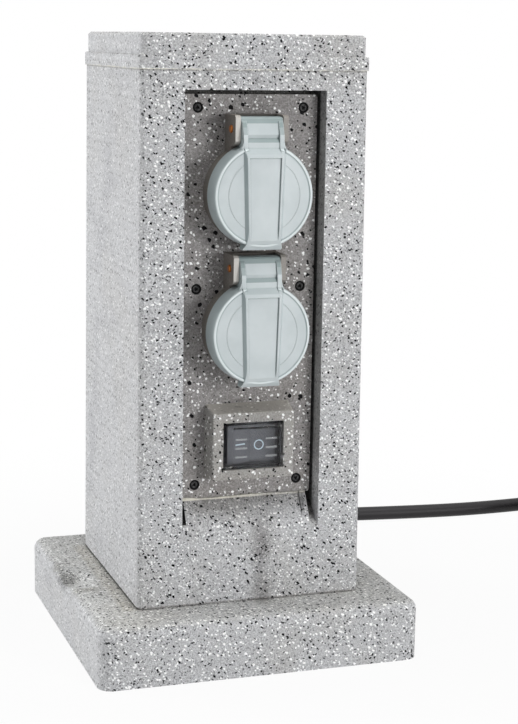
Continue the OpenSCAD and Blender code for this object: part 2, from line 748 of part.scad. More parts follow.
module lid(z) color([0.71, 0.77, 0.76]) {
    face = lid_back + lid_t;
    axis_y = panel_y - hinge_out;
    axis_z = z + hinge_rise;
    r = lid_d / 2;
    difference() {
        union() {
            difference() {
                translate([0, panel_y, z]) rotate([90, 0, 0]) lid_disc(r, face);
                translate([-arm_w / 2, panel_y - face - over, axis_z - disc_cut])
                    cube([arm_w, lid_t + 2 * over, disc_cut + 2.5]);
            }
            // Arm with its knuckle
            translate([0, axis_y, axis_z]) mirror([0, 1, 0])
                along_x(-arm_w / 2, arm_w / 2) arm_profile();
            lid_strap(z);
            arm_ribs(z);
            // Flares between the arm and the rim
            for (s = [-1, 1]) lid_flare(s, z);
        }
        // Room inside for the seal and the plug-free space behind it
        bar_y(seal_out_r + fit, panel_y - lid_back - seal_t, panel_y - lid_back + over, 0, z);
        bar_y(seal_in_r, panel_y - face + lid_skin, panel_y - lid_back, 0, z);
        // Bore for the pin, and the pocket for the spring
        bar_x(hinge_pin_d / 2 + pin_clear, 2 * block_w, axis_y, axis_z);
        bar_x(3.1, 10, axis_y, axis_z);
        translate([-5, axis_y, axis_z - 3]) cube([10, 10, 6]);
        // Faint turned line on the face
        difference() {
            bar_y(r * 0.72, panel_y - face - over, panel_y - face + bead_step + line_deep, 0, z);
            bar_y(r * 0.72 - 0.5, panel_y - face - 2 * over, panel_y - face + over, 0, z);
            translate([0, panel_y, z]) rotate([90, 0, 0]) linear_extrude(face + 3 * over) {
                strap_outline(0.4);
                strap_tab(0.4);
            }
        }
    }
}

// Turned body of the lid, its axis along the outward direction
module lid_disc(r, face) {
    edge = r - lid_draft / 2;
    rotate_extrude($fn = 96) polygon([[0, lid_back], [r - 0.5, lid_back], [r, lid_back + 0.5],
        [edge, face - 0.8], [edge - 0.25, face - 0.2], [edge - 0.7, face], [edge - 1.3, face],
        [edge - 1.7, face - bead_step], [0, face - bead_step]]);
}

// Ribs that carry the strap's edges up over the arm to the knuckle
module arm_ribs(z) {
    front = lid_back + lid_t - hinge_out + strap_out;
    outer = arm_w / 2 - 0.3;
    inner = strap_top_w / 2 - strap_slope - strap_rib_w;
    translate([0, panel_y - hinge_out, z + hinge_rise]) mirror([0, 1, 0]) for (s = [-1, 1]) intersection() {
        along_x(-arm_w, arm_w) polygon([[2, 4.6], [5.4, 4.3], [6.4, 3.2], [7.4, 1], [8.7, -2.3],
            [8.9, -4], [8.9, -8.1], [front - 0.5, -10.9], [front - 0.05, -12.2], [front - 2, -15.5],
            [6, -12], [2, -5]]);
        mirror([0, 1, 0]) rotate([90, 0, 0]) linear_extrude(front + over)
            polygon([[s * outer, 4], [s * outer, -6], [s * (strap_top_w / 2 - strap_slope), -12],
                [s * (strap_top_w / 2 - strap_slope), -16], [s * inner, -16], [s * inner, 4]]);
    }
}

// Outline of the strap, seen from the front, round the socket's centre
module strap_outline(extra = 0) {
    top = hinge_rise - 6.4;
    foot = -lid_d / 2 - foot_out;
    top_x = strap_top_w / 2 + extra;
    foot_x = strap_foot_w / 2 + extra;
    polygon([[-top_x, top], [top_x, top], [foot_x, foot], [-foot_x, foot]]);
}

// Widening of the strap's foot, where a finger pulls
module strap_tab(extra = 0) {
    foot = -lid_d / 2 - foot_out - extra;
    x = strap_foot_w / 2;
    polygon([[-x, foot + 3], [x, foot + 3], [x + tab_out, foot + 0.8], [x + tab_out, foot],
        [-x - tab_out, foot], [-x - tab_out, foot + 0.8]]);
}

// Raised strap down the middle, with a rib along each edge and a pull tab at its foot
module lid_strap(z) {
    front = lid_back + lid_t - hinge_out + strap_out;
    foot = -hinge_rise - lid_d / 2 - foot_out;
    translate([0, panel_y - hinge_out, z + hinge_rise]) mirror([0, 1, 0]) difference() {
        intersection() {
            along_x(-strap_top_w, strap_top_w) polygon([[5, -12], [7, -7], [8.3, -8.3],
                [front - 0.5, -10.9], [front - 0.1, -12.2], [front, -14],
                [front, foot + 10], [front - 0.3, foot + 7],
                [front - 0.9, foot + 4.5], [front - 1.9, foot + 2], [8.4, foot + 0.3], [8, foot],
                [3.6, foot], [2.6, foot + 4]]);
            mirror([0, 1, 0]) translate([0, 0, -hinge_rise]) rotate([90, 0, 0]) {
                hull() {
                    linear_extrude(front - strap_out - bead_step) strap_outline();
                    linear_extrude(front + 0.01) strap_outline(-strap_slope);
                }
                linear_extrude(front + over) strap_tab();
            }
        }
        mirror([0, 1, 0]) translate([0, -front + strap_rib_h, -hinge_rise]) rotate([90, 0, 0])
            linear_extrude(2 * over) strap_field();
    }
}

module strap_field() {
    top = hinge_rise - 12.6;
    foot = -lid_d / 2 + 3.6;
    top_x = strap_top_w / 2 - strap_slope - strap_rib_w;
    foot_x = strap_foot_w / 2 - strap_slope - strap_rib_w / 2;
    polygon([[-top_x, top], [top_x, top], [foot_x, foot], [-foot_x, foot]]);
}

module lid_flare(s, z) {
    r = lid_d / 2 - 0.5;
    flare = 4;
    x = arm_w / 2 + flare;
    h = sqrt((r + flare) * (r + flare) - x * x);
    a0 = 180;
    a1 = 180 + atan2(h, x);
    curve = [for (k = [0:6]) let (a = a0 + (a1 - a0) * k / 6) [x + flare * cos(a), h + flare * sin(a)]];
    last = curve[6];
    translate([0, panel_y - hinge_out - 6.2, z]) scale_x(s) rotate([90, 0, 0]) linear_extrude(2.6)
        polygon(concat([[arm_w / 2 - 1, h]], curve, [last * 0.98, [arm_w / 2 - 1, last[1] - 2]]));
}

module scale_x(s) {
    if (s > 0) children();
    else mirror([1, 0, 0]) children();
}

module lid_seal(z) color([0.25, 0.26, 0.26])
    difference() {
        bar_y(seal_out_r, panel_y - lid_back - seal_t, panel_y - lid_back, 0, z);
        bar_y(seal_in_r, panel_y - lid_back - seal_t - over, panel_y - lid_back + over, 0, z);
    }

module switch_frame() color([0.55, 0.54, 0.52]) {
    y0 = panel_y - frame_out;
    cavity_w = frame_w - 2 * frame_side;
    cavity_h = frame_h - 2 * frame_side;
    difference() {
        hull() {
            plate(frame_w - 0.8, frame_h - 0.8, 0.8, y0, y0 + 0.01, switch_z);
            plate(frame_w, frame_h, 1.2, y0 + 0.4, y0 + 0.41, switch_z);
            plate(frame_w + 2 * frame_draft, frame_h + frame_draft + frame_top_draft, 1.2,
                panel_y - 0.01, panel_y, switch_z + (frame_top_draft - frame_draft) / 2);
        }
        plate(window_w, window_h, 0.6, y0 - over, panel_y, switch_z);
        plate(cavity_w, cavity_h, 1, y0 + frame_wall, panel_y + over, switch_z);
        for (x = [-1, 1], z = [-1, 1])
            bar_y(frame_screw_d / 2 + 0.02, panel_y - frame_screw_l - 1, panel_y + over,
                x * frame_screw_x, switch_z + z * frame_screw_z);
    }
}

module frame_screws() color([0.5, 0.5, 0.52])
    for (x = [-1, 1], z = [-1, 1]) {
        back = panel_y + panel_t;
        at_x = x * frame_screw_x;
        at_z = switch_z + z * frame_screw_z;
        bar_y(frame_screw_d / 2, panel_y - frame_screw_l, back + 0.01, at_x, at_z);
        bar_y(frame_screw_d, back, back + frame_screw_d * 0.7, at_x, at_z);
    }

// Soft clear cover: a flange clamped inside the frame and a dome that comes out of its window
module switch_cover() color([0.75, 0.78, 0.8, 0.35]) {
    front_y = panel_y - frame_out;
    inner_y = front_y + frame_wall;
    flange_y = inner_y + flange_t;
    top_y = front_y - cover_out;
    skirt_w = frame_w - 2 * frame_side - 0.6 - 2 * skirt_t;
    skirt_h = frame_h - 2 * frame_side - 0.6 - 2 * skirt_t;
    foot_w = window_w - 0.8;
    foot_h = window_h - 0.8;
    top_w = window_w - 4.9;
    top_h = window_h - 3;
    difference() {
        union() {
            plate(skirt_w + 2 * skirt_t, skirt_h + 2 * skirt_t, 1, inner_y, panel_y - bezel_t, switch_z);
            hull() {
                plate(foot_w, foot_h, 1, inner_y, inner_y + 0.01, switch_z);
                plate(foot_w - 0.6, foot_h - 0.6, 1.2, front_y, front_y + 0.01, switch_z);
                plate(top_w, top_h, 1.5, top_y + 0.5, top_y + 0.51, switch_z);
                plate(top_w - 1, top_h - 1, 1, top_y, top_y + 0.01, switch_z);
            }
            // Finger ribs on the dome's face
            for (s = [-1, 1], k = [-1:1])
                translate([s * 7.5 - 0.2, top_y, switch_z + k * 4.25 + 0.1])
                    cube([5.6, 0.5, 0.9], center = true);
        }
        hull() {
            plate(skirt_w, foot_h - 2 * cover_wall, 1, flange_y, flange_y + 0.01, switch_z);
            plate(foot_w - 0.6 - 2 * cover_wall, foot_h - 0.6 - 2 * cover_wall, 1,
                front_y, front_y + 0.01, switch_z);
            plate(top_w - 2 * cover_wall, top_h - 2 * cover_wall, 1,
                top_y + cover_wall, top_y + cover_wall + 0.01, switch_z);
        }
        plate(skirt_w, skirt_h, 0.8, flange_y, panel_y, switch_z);
    }
}

module switch_body() color([0.1, 0.1, 0.1]) {
    w = window_w - 2 * body_gap;
    h = window_h - 0.8 - 2 * body_gap;
    back = panel_y + body_depth;
    difference() {
        union() {
            plate(frame_w - 2 * frame_side - 2 * bezel_gap, frame_h - 2 * frame_side - bezel_gap, 1,
                panel_y - bezel_t, panel_y, switch_z);
            plate(w, h, 0.5, panel_y - 0.01, back, switch_z);
        }
        plate(rocker_w + 0.8, rocker_h + 0.8, 0.4, panel_y - bezel_t - over, panel_y + 8, switch_z);
        // Bearings for the rocker's stubs
        translate([0, panel_y - rocker_axis_out, switch_z])
            cylinder(r = pivot_r + 0.08, h = rocker_h + 1.6, center = true);
    }
}

// Rocker at rest in its off position, turned about its upright pivot
module switch_rocker() color([0.16, 0.16, 0.17])
    translate([0, panel_y - rocker_axis_out, switch_z]) rotate([0, 0, rocker_tilt]) {
        crest = rocker_top - rocker_axis_out;
        tip_x = rocker_w / 2 - 0.3;
        tip_y = -crest - rocker_rise + 0.2;
        linear_extrude(rocker_h, center = true)
            polygon([[-tip_x, tip_y], [0, -crest], [tip_x, tip_y], [tip_x, -crest + 1.6], [4, 2.5],
                [1.5, 5.5], [-1.5, 5.5], [-4, 2.5], [-tip_x, -crest + 1.6]]);
        cylinder(r = pivot_r, h = rocker_h + 1.2, center = true);
    }

module switch_terminals() color([0.8, 0.8, 0.82])
    for (x = [-1, 1], z = [-1, 1])
        translate([x * 8 - 3.15, panel_y + body_depth, switch_z + z * 5 - 0.4]) cube([6.3, 8, 0.8]);

// Gland through the back wall: threaded barrel with a six-sided head outside
module cable_gland() color([0.12, 0.12, 0.12]) {
    wall_y = col_half(gland_z) - col_wall;
    difference() {
        union() {
            bar_y(gland_d / 2, wall_y - 9, gland_face_y, 0, gland_z);
            translate([0, relief_y, gland_z]) rotate([90, 0, 0])
                cylinder(r = gland_d * 0.68, h = gland_head_l, $fn = 6);
        }
        bar_y(cord_r + 0.2, wall_y - 10, relief_y - 2, 0, gland_z);
    }
}

module gland_nut() color([0.15, 0.15, 0.15]) {
    wall_y = col_half(gland_z) - col_wall;
    difference() {
        translate([0, wall_y - fit, gland_z]) rotate([90, 0, 0]) cylinder(r = gland_d * 0.7, h = 5, $fn = 6);
        bar_y(gland_d / 2 + 0.02, wall_y - 6, wall_y + 1, 0, gland_z);
    }
}

// Tapered sleeve that keeps the cord from kinking, with grooves round it
module strain_relief() color([0.07, 0.07, 0.07])
    translate([0, relief_y, gland_z]) rotate([-90, 0, 0]) difference() {
        union() {
            cylinder(r = 8.2, h = 3);
            translate([0, 0, 3 - 0.01]) cylinder(r1 = 7.2, r2 = cord_r + 1.1, h = relief_l - 3);
        }
        for (i = [0:3]) translate([0, 0, 6 + i * 4.8]) difference() {
            cylinder(r = 9, h = 1.6);
            translate([0, 0, -1]) cylinder(r = 5.9 - 0.25 * i, h = 4);
        }
    }

module inner_cable() color([0.07, 0.07, 0.07])
    bar_y(cord_r, inner_end_y, relief_y - 2 - fit, 0, gland_z);

// A core: a smooth tube through hand-chosen points
module core(points, r = 1.3) {
    last = len(points) - 1;
    tube(smooth(points, 4), r, 8, unit(points[1] - points[0]), unit(points[last] - points[last - 1]));
}

// Points on a smooth curve through a list of points
function smooth(p, n) = concat([for (i = [0:len(p) - 2], k = [0:n - 1])
    let (t = k / n, a = p[max(i - 1, 0)], b = p[i], c = p[i + 1], d = p[min(i + 2, len(p) - 1)])
    0.5 * (2 * b + (c - a) * t + (2 * a - 5 * b + 4 * c - d) * pow(t, 2)
        + (3 * b - a - 3 * c + d) * pow(t, 3))],
    [p[len(p) - 1]]);

tab_y = panel_y + body_depth + 8;
contact_back_y = panel_y - collar_h + seat + cup_depth + cup_floor_t + contact_l;

function tab_at(sx, sz) = [sx * 8, tab_y, switch_z + sz * 5];
function contact_at(s, z) = [s * pin_pitch / 2, contact_back_y, z];

// From the sheath's end to the switch, from the switch to the lower socket, and on to the upper one
module mains_cores(s) {
    in = tab_at(s, -1);
    out = tab_at(s, 1);
    low = contact_at(s, socket_zs[1]);
    high = contact_at(s, socket_zs[0]);
    core([[s * 2.4, inner_end_y, gland_z - 1], [s * 2.4, inner_end_y - 8, gland_z - 1],
        [s * 5, 2, gland_z + 12], [s * 8, -2, in[2] - 16], in + [0, 8, 0], in]);
    core([out, out + [0, 7, 0], [s * 8.5, 2, out[2] + 16],
        low + [0, 14, -12], low + [s * 1, 7, -1.3], low + [s * 1, 0, -1.3]], 1.2);
    core([low + [s * -1, 0, 1.4], low + [s * -1, 7, 1.4], low + [0, 14, 16],
        high + [0, 14, -16], high + [0, 7, 0], high], 1.2);
}

module wire_live() color([0.4, 0.22, 0.12]) mains_cores(-1);

module wire_neutral() color([0.15, 0.3, 0.6]) mains_cores(1);

module wire_earth() color([0.5, 0.6, 0.15]) {
    clip_y = panel_y - collar_h + seat + cup_depth + body_l + strip_t;
    low = [0, clip_y, socket_zs[1]];
    high = [0, clip_y, socket_zs[0]];
    core([[0, inner_end_y, gland_z + 2.4], [0, inner_end_y - 8, gland_z + 2.4], [0, 8, gland_z + 20],
        [0, 10, low[2] - 40], low + [0, 16, -18], low + [0, 7, -4], low + [0, 0, -4]]);
    core([low + [0, 0, 4], low + [0, 7, 4], low + [0, 16, 18],
        high + [0, 16, -18], high + [0, 7, 0], high]);
}

cord_start = [0, cord_start_y, gland_z];
cord_path = concat([cord_start], [for (p = cord_route) cord_start + p],
    [[coil_x, coil_y + coil_r, coil_z]]);

module power_cord() color([0.07, 0.07, 0.07]) tube(cord_path, cord_r, 10, [0, 1, 0], [1, 0, 0]);

// Coil in two layers: the turns spiral in on the floor, climb, and spiral out on top
coil_rings = coil_turns * coil_steps;
function coil_point(i) =
    let (turn = i / coil_steps, a = 90 - 360 * turn,
        spiral = turn < coil_turns_in ? turn : coil_turns - turn,
        climb = min(max((turn - coil_turns_in) * 2 + 0.5, 0), 1))
    [coil_x + (coil_r - coil_pitch * spiral) * cos(a), coil_y + (coil_r - coil_pitch * spiral) * sin(a),
        coil_z + coil_pitch * (1 - cos(180 * climb)) / 2];
coil_path = [for (i = [0:coil_rings]) coil_point(i)];

// Least gap of the coil to itself, between points at least half a turn apart
coil_gap = min([for (i = [0:coil_rings], k = [0:coil_rings])
    if (k - i > coil_steps / 2) norm(coil_path[i] - coil_path[k])]) - cord_d;
echo(coil_gap = coil_gap);  // cord_coil

module cord_coil() color([0.07, 0.07, 0.07])
    tube(coil_path, cord_r, 6, [1, 0, 0], [cos(coil_heading), sin(coil_heading), 0]);

plug_dir = [cos(coil_heading), sin(coil_heading), 0];
plug_tail_l = 22;
plug_body_l = 36;
strip_from = 18;
plug_tail = plug_at - plug_dir * plug_tail_l + [0, 0, plug_z];

module cord_tail() color([0.07, 0.07, 0.07])
    tube([coil_end, coil_end + plug_dir * 12 + [0, 0, 0.2], coil_end + plug_dir * 30 + [0, 0, 2.2],
        plug_tail - plug_dir * 12 - [0, 0, 0.3], plug_tail], cord_r, 8, plug_dir, plug_dir);

// Tie round the turns, where the coil climbs from its lower to its upper layer
module cord_tie() color([0.1, 0.1, 0.1]) {
    turn = 1 - (tie_angle - 90) / 360;
    r_out = coil_r - coil_pitch * turn + cord_r + slack;
    r_in = coil_r - coil_pitch * coil_turns_in - cord_r - slack;
    w = r_out - r_in;
    h = coil_pitch + cord_d - 2 * seat;
    translate([coil_x, coil_y, 0]) rotate([0, 0, tie_angle])
        translate([(r_in + r_out) / 2, tie_w / 2, coil_z + coil_pitch / 2]) rotate([90, 0, 0])
            linear_extrude(tie_w) difference() {
                round_rect(w + 2 * tie_t, h + 2 * tie_t, cord_r);
                round_rect(w, h, cord_r - tie_t);
            }
}

module at_plug() {
    translate(plug_at + [0, 0, plug_z]) rotate([0, 0, coil_heading]) rotate([0, 90, 0]) children();
}

// Moulded plug lying on its side, its axis along the cord
module plug_body() color([0.07, 0.07, 0.07])
    at_plug() difference() {
        rotate_extrude() polygon([[0, -plug_tail_l], [cord_r + 1, -plug_tail_l], [7.5, -3], [9, 0], [14, 5],
            [16.2, 12], [16.6, 22], [plug_d / 2 - 0.8, 25], [plug_d / 2, 26], [plug_d / 2, plug_body_l - 1],
            [plug_d / 2 - 1, plug_body_l], [0, plug_body_l]]);
        // Grooves for the earth strips and flats for the guides
        for (s = [-1, 1]) translate([s * (plug_d / 2 - 1) - 2, -4, 16]) cube([4, 8, 30]);
        for (s = [-1, 1]) translate([-2.7, s * (plug_d / 2 - 0.5) - 1, 24.5]) cube([5.4, 2, 20]);
    }

module plug_pins() color([0.8, 0.8, 0.82])
    at_plug() for (s = [-1, 1]) translate([0, s * pin_pitch / 2, plug_body_l]) {
        cylinder(r = 2.4, h = plug_pin_l - 1);
        translate([0, 0, plug_pin_l - 1]) cylinder(r1 = 2.4, r2 = 1.5, h = 1);
    }

module plug_earth_strips() color([0.8, 0.8, 0.82])
    at_plug() for (s = [-1, 1])
        translate([s * (plug_d / 2 - 2.5) - 0.5, -2.5, strip_from])
            cube([1, 5, plug_body_l - strip_from - 0.5]);

base_plate();
base_screws();
column_shell();
top_cap();
socket_panel();
panel_gasket();
panel_screws();
socket_insert(socket_zs[0]);  // upper_socket
socket_insert(socket_zs[1]);  // lower_socket
contacts(socket_zs[0]);  // upper_contacts
contacts(socket_zs[1]);  // lower_contacts
earth_clip(socket_zs[0]);  // upper_earth_clip
earth_clip(socket_zs[1]);  // lower_earth_clip
socket_screws(socket_zs[0]);  // upper_socket_screws
socket_screws(socket_zs[1]);  // lower_socket_screws
hinge_pin(socket_zs[0]);  // upper_hinge_pin
hinge_pin(socket_zs[1]);  // lower_hinge_pin
lid_spring(socket_zs[0]);  // upper_lid_spring
lid_spring(socket_zs[1]);  // lower_lid_spring
lid(socket_zs[0]);  // upper_lid
lid(socket_zs[1]);  // lower_lid
lid_seal(socket_zs[0]);  // upper_lid_seal
lid_seal(socket_zs[1]);  // lower_lid_seal
switch_frame();
frame_screws();
switch_cover();
switch_body();
switch_rocker();
switch_terminals();
cable_gland();
gland_nut();
strain_relief();
inner_cable();
wire_live();
wire_neutral();
wire_earth();
power_cord();
cord_coil();
cord_tail();
cord_tie();
plug_body();
plug_pins();
plug_earth_strips();
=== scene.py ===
import json
import math

import bpy
from mathutils import Matrix, Vector


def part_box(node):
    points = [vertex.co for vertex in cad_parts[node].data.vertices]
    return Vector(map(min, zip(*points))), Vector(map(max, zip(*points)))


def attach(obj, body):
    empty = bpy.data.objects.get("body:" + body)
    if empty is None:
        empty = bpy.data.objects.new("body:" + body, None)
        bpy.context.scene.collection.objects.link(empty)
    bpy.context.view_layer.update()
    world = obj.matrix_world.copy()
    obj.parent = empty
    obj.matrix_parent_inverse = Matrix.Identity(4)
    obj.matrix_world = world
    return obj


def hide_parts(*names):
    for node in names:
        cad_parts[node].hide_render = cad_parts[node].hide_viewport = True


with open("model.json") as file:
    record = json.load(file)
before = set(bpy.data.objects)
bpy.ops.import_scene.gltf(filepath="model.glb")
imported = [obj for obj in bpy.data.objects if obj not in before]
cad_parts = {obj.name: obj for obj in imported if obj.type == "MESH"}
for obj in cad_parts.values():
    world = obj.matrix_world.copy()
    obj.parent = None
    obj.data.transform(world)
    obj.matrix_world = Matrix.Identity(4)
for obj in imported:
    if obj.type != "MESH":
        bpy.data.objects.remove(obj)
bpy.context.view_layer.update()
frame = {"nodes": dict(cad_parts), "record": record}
nodes = frame["nodes"]

MM = 0.001

# Camera: where it stands and how it is turned, found from the post's edges
CAMERA_AT = Vector((-253.0, -810.1, 297.6)) * MM
CAMERA_AZIMUTH = -18.74
CAMERA_PITCH = 10.69
CAMERA_ROLL = 0.93
LENS = 85.04


def make_camera():
    a, e, r = (math.radians(x) for x in (CAMERA_AZIMUTH, CAMERA_PITCH, CAMERA_ROLL))
    forward = Vector((-math.sin(a) * math.cos(e), math.cos(a) * math.cos(e), -math.sin(e)))
    level = Vector((math.cos(a), math.sin(a), 0))
    upright = level.cross(forward)
    right = level * math.cos(r) + upright * math.sin(r)
    up = upright * math.cos(r) - level * math.sin(r)
    data = bpy.data.cameras.new("camera")
    data.lens = LENS
    data.clip_start = 0.01
    obj = bpy.data.objects.new("camera", data)
    turn = Matrix((right, up, -forward)).transposed()
    obj.matrix_world = Matrix.Translation(CAMERA_AT) @ turn.to_4x4()
    bpy.context.scene.collection.objects.link(obj)
    bpy.context.scene.camera = obj


make_camera()


# Cord: the route from the strain relief to the coil, then the coil's turns and the rise to the plug,
# all in millimetres
CORD_D = 8.4
EXIT = (0, 86.922, 46)
ROUTE = [
    (0, 10, 0), (0.5, 20, -1), (3, 31, -4), (9, 42, -10), (19, 53, -17.5), (33, 62, -26),
    (50, 68.5, -33), (69, 72.5, -38), (90, 74.5, -40.8), (112, 74, -41.7), (135, 71.5, -41.8),
    (160, 68, -41.8), (185, 65, -41.8), (210, 63, -41.8), (235, 62.3, -41.6), (262, 62.2, -41.1)]
COIL_AT = (290, 95, 5.2)
COIL_R = 54.3
COIL_PITCH = 8.9
TURNS_IN = 1.6875
POINTS_PER_TURN = 24
PLUG_Z = 19
TO_PLUG = 82
PLUG_TAIL = 22

# The last points before the plug: how far along, and how much higher or lower
AFTER_COIL = ((12, 0.2), (30, 2.2))
BEFORE_PLUG = (-12, -0.3)


def coil_point(turn):
    """Centre of the cord after this many turns: inwards on the floor, then outwards on top of that."""
    a = math.radians(90 - 360 * turn)
    spiral = turn if turn < TURNS_IN else 2 * TURNS_IN - turn
    climb = min(max((turn - TURNS_IN) * 2 + 0.5, 0), 1)
    r = COIL_R - COIL_PITCH * spiral
    x, y, z = COIL_AT
    lift = COIL_PITCH * (1 - math.cos(math.pi * climb)) / 2
    return (x + r * math.cos(a), y + r * math.sin(a), z + lift)


def cord_points():
    """The whole cord from the strain relief to the plug."""
    points = [EXIT] + [tuple(p + q for p, q in zip(EXIT, step)) for step in ROUTE]
    last = int(2 * TURNS_IN * POINTS_PER_TURN)
    points += [coil_point(i / POINTS_PER_TURN) for i in range(last + 1)]
    heading = math.radians(-360 * 2 * TURNS_IN)
    along = Vector((math.cos(heading), math.sin(heading), 0))
    end = Vector(points[-1])
    tail = Vector((end.x, end.y, PLUG_Z)) + along * (TO_PLUG - PLUG_TAIL)
    points += [end + along * far + Vector((0, 0, up)) for far, up in AFTER_COIL]
    far, up = BEFORE_PLUG
    points += [tail + along * far + Vector((0, 0, up)), tail]
    return [Vector(p) * MM for p in points]


def smooth_path(points, steps):
    """Points on a smooth curve through the given ones."""
    out = []
    for i in range(len(points) - 1):
        a, b = points[max(i - 1, 0)], points[i]
        c, d = points[i + 1], points[min(i + 2, len(points) - 1)]
        for k in range(steps):
            t = k / steps
            out.append(0.5 * (2 * b + (c - a) * t + (2 * a - 5 * b + 4 * c - d) * t ** 2
                              + (3 * b - a - 3 * c + d) * t ** 3))
    out.append(points[-1])
    return out


def tube_mesh(name, path, radius, sides=20):
    """A round tube along a path, closed at both ends."""
    verts, faces = [], []
    side = Vector((1, 0, 0))
    for i, p in enumerate(path):
        along = (path[min(i + 1, len(path) - 1)] - path[max(i - 1, 0)]).normalized()
        side = (side - along * side.dot(along)).normalized()
        other = along.cross(side)
        for k in range(sides):
            t = 2 * math.pi * k / sides
            verts.append(p + radius * (math.cos(t) * side + math.sin(t) * other))
    for i in range(len(path) - 1):
        for k in range(sides):
            a, b = i * sides + k, i * sides + (k + 1) % sides
            faces.append((a, b, b + sides, a + sides))
    faces.append(tuple(range(sides - 1, -1, -1)))
    faces.append(tuple(range((len(path) - 1) * sides, len(path) * sides)))
    return mesh_object(name, verts, faces)


def mesh_object(name, verts, faces):
    mesh = bpy.data.meshes.new(name)
    mesh.from_pydata([tuple(v) for v in verts], [], faces)
    mesh.update()
    for face in mesh.polygons:
        face.use_smooth = True
    obj = bpy.data.objects.new(name, mesh)
    bpy.context.scene.collection.objects.link(obj)
    return obj


cord_line = cord_points()
cord = tube_mesh("mains_cord", smooth_path(cord_line, 4), CORD_D / 2 * MM)
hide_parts("power_cord", "cord_coil", "cord_tail")
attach(cord, "post")


# Places on the post, in millimetres. The first ones come from the CAD pieces.
def middle_of(node):
    """Middle of a CAD piece."""
    low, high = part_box(node)
    return (low + high) / 2 / MM


HINGES = (middle_of("upper_hinge_pin").z, middle_of("lower_hinge_pin").z)
SWITCH_Z = middle_of("switch_cover").z
COVER_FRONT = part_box("switch_cover")[0].y / MM
PANEL_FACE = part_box("switch_frame")[1].y / MM
COLUMN_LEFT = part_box("column_shell")[0].x / MM
COLUMN_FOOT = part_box("column_shell")[0].z / MM
COLUMN_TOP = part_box("column_shell")[1].z / MM

# Where the name of a pair ends in an axis, a band reaches, or a mask fades, from the first number to
# the second along it. The recess in the column's front: its side walls, its top, and how far back its
# painted shade reaches
RECESS_SIDE_X = (34.45, 34.6)
RECESS_TOP_Z = (274.6, 274.8)
RECESS_BACK_Y = (-41, -40)

# In the recess, where shade is painted: where it fades in over the ramp, the gap round the panel, where
# the side walls turn darker, the foot with the slit at its left and the groove at its right, and the
# lip under the panel, where a highlight is painted
RAMP_Z = (61, 66)
RAMP_Y = (-56, PANEL_FACE + 0.2)
GAP_Y = (PANEL_FACE - 0.05, PANEL_FACE + 0.4)
WALL_Z = (84, 110)
FOOT_Z = (60, 80.6)
SLIT_X = (-34.7, -31.9)
SLIT_Y = (-55.6, -55.0)
GROOVE_X = (30.2, 34.5)
GROOVE_Y = (-54.5, -50)
LIP_Z = (79.5, 82)
LIP_Y = (PANEL_FACE - 1.5, PANEL_FACE)
LIP_FADES_X = (-15, 20)

# On the base: warm painted shade in a strip beside the column, and painted light on the left of its top
STRIP_X = (-63, -56)
STRIP_Y = (-56, 56)
STRIP_Z = (COLUMN_FOOT - 0.3, COLUMN_FOOT + 0.1)
LIT_TOP_X = (-60, -53)
BASE_ONLY_Z = (31, 33)

# On the column: painted shade in the joint at its foot, darkest at the left, and the shadow line under
# the cap's bead, with a painted highlight on the bead's edge over it
JOINT_Z = (COLUMN_FOOT + 0.05, COLUMN_FOOT + 1.25)
JOINT_LEFT_X = (COLUMN_LEFT + 0.2, COLUMN_LEFT + 1.4)
UNDER_BEAD_Z = (COLUMN_TOP - 0.6, COLUMN_TOP - 0.02)
BEAD_EDGE_Z = (COLUMN_TOP, COLUMN_TOP + 0.5)

# On the panel: its edges in the gap, where the hinge blocks and collars begin, where light is painted
# on their fronts, and where that painted light fades to the right
PANEL_EDGE_Y = (PANEL_FACE + 0.1, PANEL_FACE + 0.3)
BLOCK_Y = (PANEL_FACE - 0.5, PANEL_FACE - 0.3)
BLOCK_FRONT_Y = (-60, -59)
BLOCK_FADES_X = (0, 4)

# The panel screws' sunk ring and drive, black with painted shade, and the finger ribs of the switch
# cover
SUNK_Y = (PANEL_FACE + 0.4, PANEL_FACE + 0.5)
RIB_Y = (COVER_FRONT + 0.17, COVER_FRONT + 0.23)

# A lid: its middle under the hinge, its arm round the hinge, the depth of its face, and the radii of
# the face's groove and rim
LID_DROP = 30.1
ARM = (-6.2, 7.0)
LID_FACE_Y = (-68.45, -67.5)
LID_GROOVE = (21.8, 22.4)
LID_RIM = (22.45, 23.3)

# The rocker's front, and its ring and bar, measured from the middle of the switch
ROCKER_FRONT_Y = (-49.8, -49.5)
RING_AT = (5.0, -1.4)
RING = (1.95, 2.5)
BAR_X = (-7.6, -2.4)
BAR_Z = (-0.75, -0.05)

# Soft dark places painted on the stone as shade: centre, radii, tint
SHADE_SPOTS = (
    ((5.5, -56, 57), (7.5, 14, 19), (0.5, 0.49, 0.49)),
    ((6, -56, 35), (8, 14, 17), (0.54, 0.53, 0.52)),
    ((-29, -56, 66), (6, 12, 8), (0.88, 0.87, 0.86)),
    ((0, -56, 279), (8, 12, 6), (0.82, 0.81, 0.81)),
    ((27.6, -51, 76), (3.6, 9, 9), (0.5, 0.5, 0.5)),
    ((-77, 6, 28), (9, 19, 8), (0.46, 0.46, 0.46)),
    ((-74, -18, 29), (13, 6, 6), (0.68, 0.67, 0.65)),
    ((-79, 25, 29), (5, 9, 6), (0.66, 0.65, 0.63)))

# Where grainy painted shade lies in the hollow of the base's left edge: centre, radii
HOLLOW_SHADE = ((-77, 10, 28.5), (9, 20, 8))


# Materials
def srgb(r, g, b):
    """A colour given as screen values from 0 to 255, as the shader wants it."""
    def linear(v):
        v /= 255
        return v / 12.92 if v <= 0.04045 else ((v + 0.055) / 1.055) ** 2.4
    return (linear(r), linear(g), linear(b), 1.0)


def shaded(color, share):
    """The colour made darker to this share."""
    return tuple(c * share for c in color[:3]) + (1.0,)


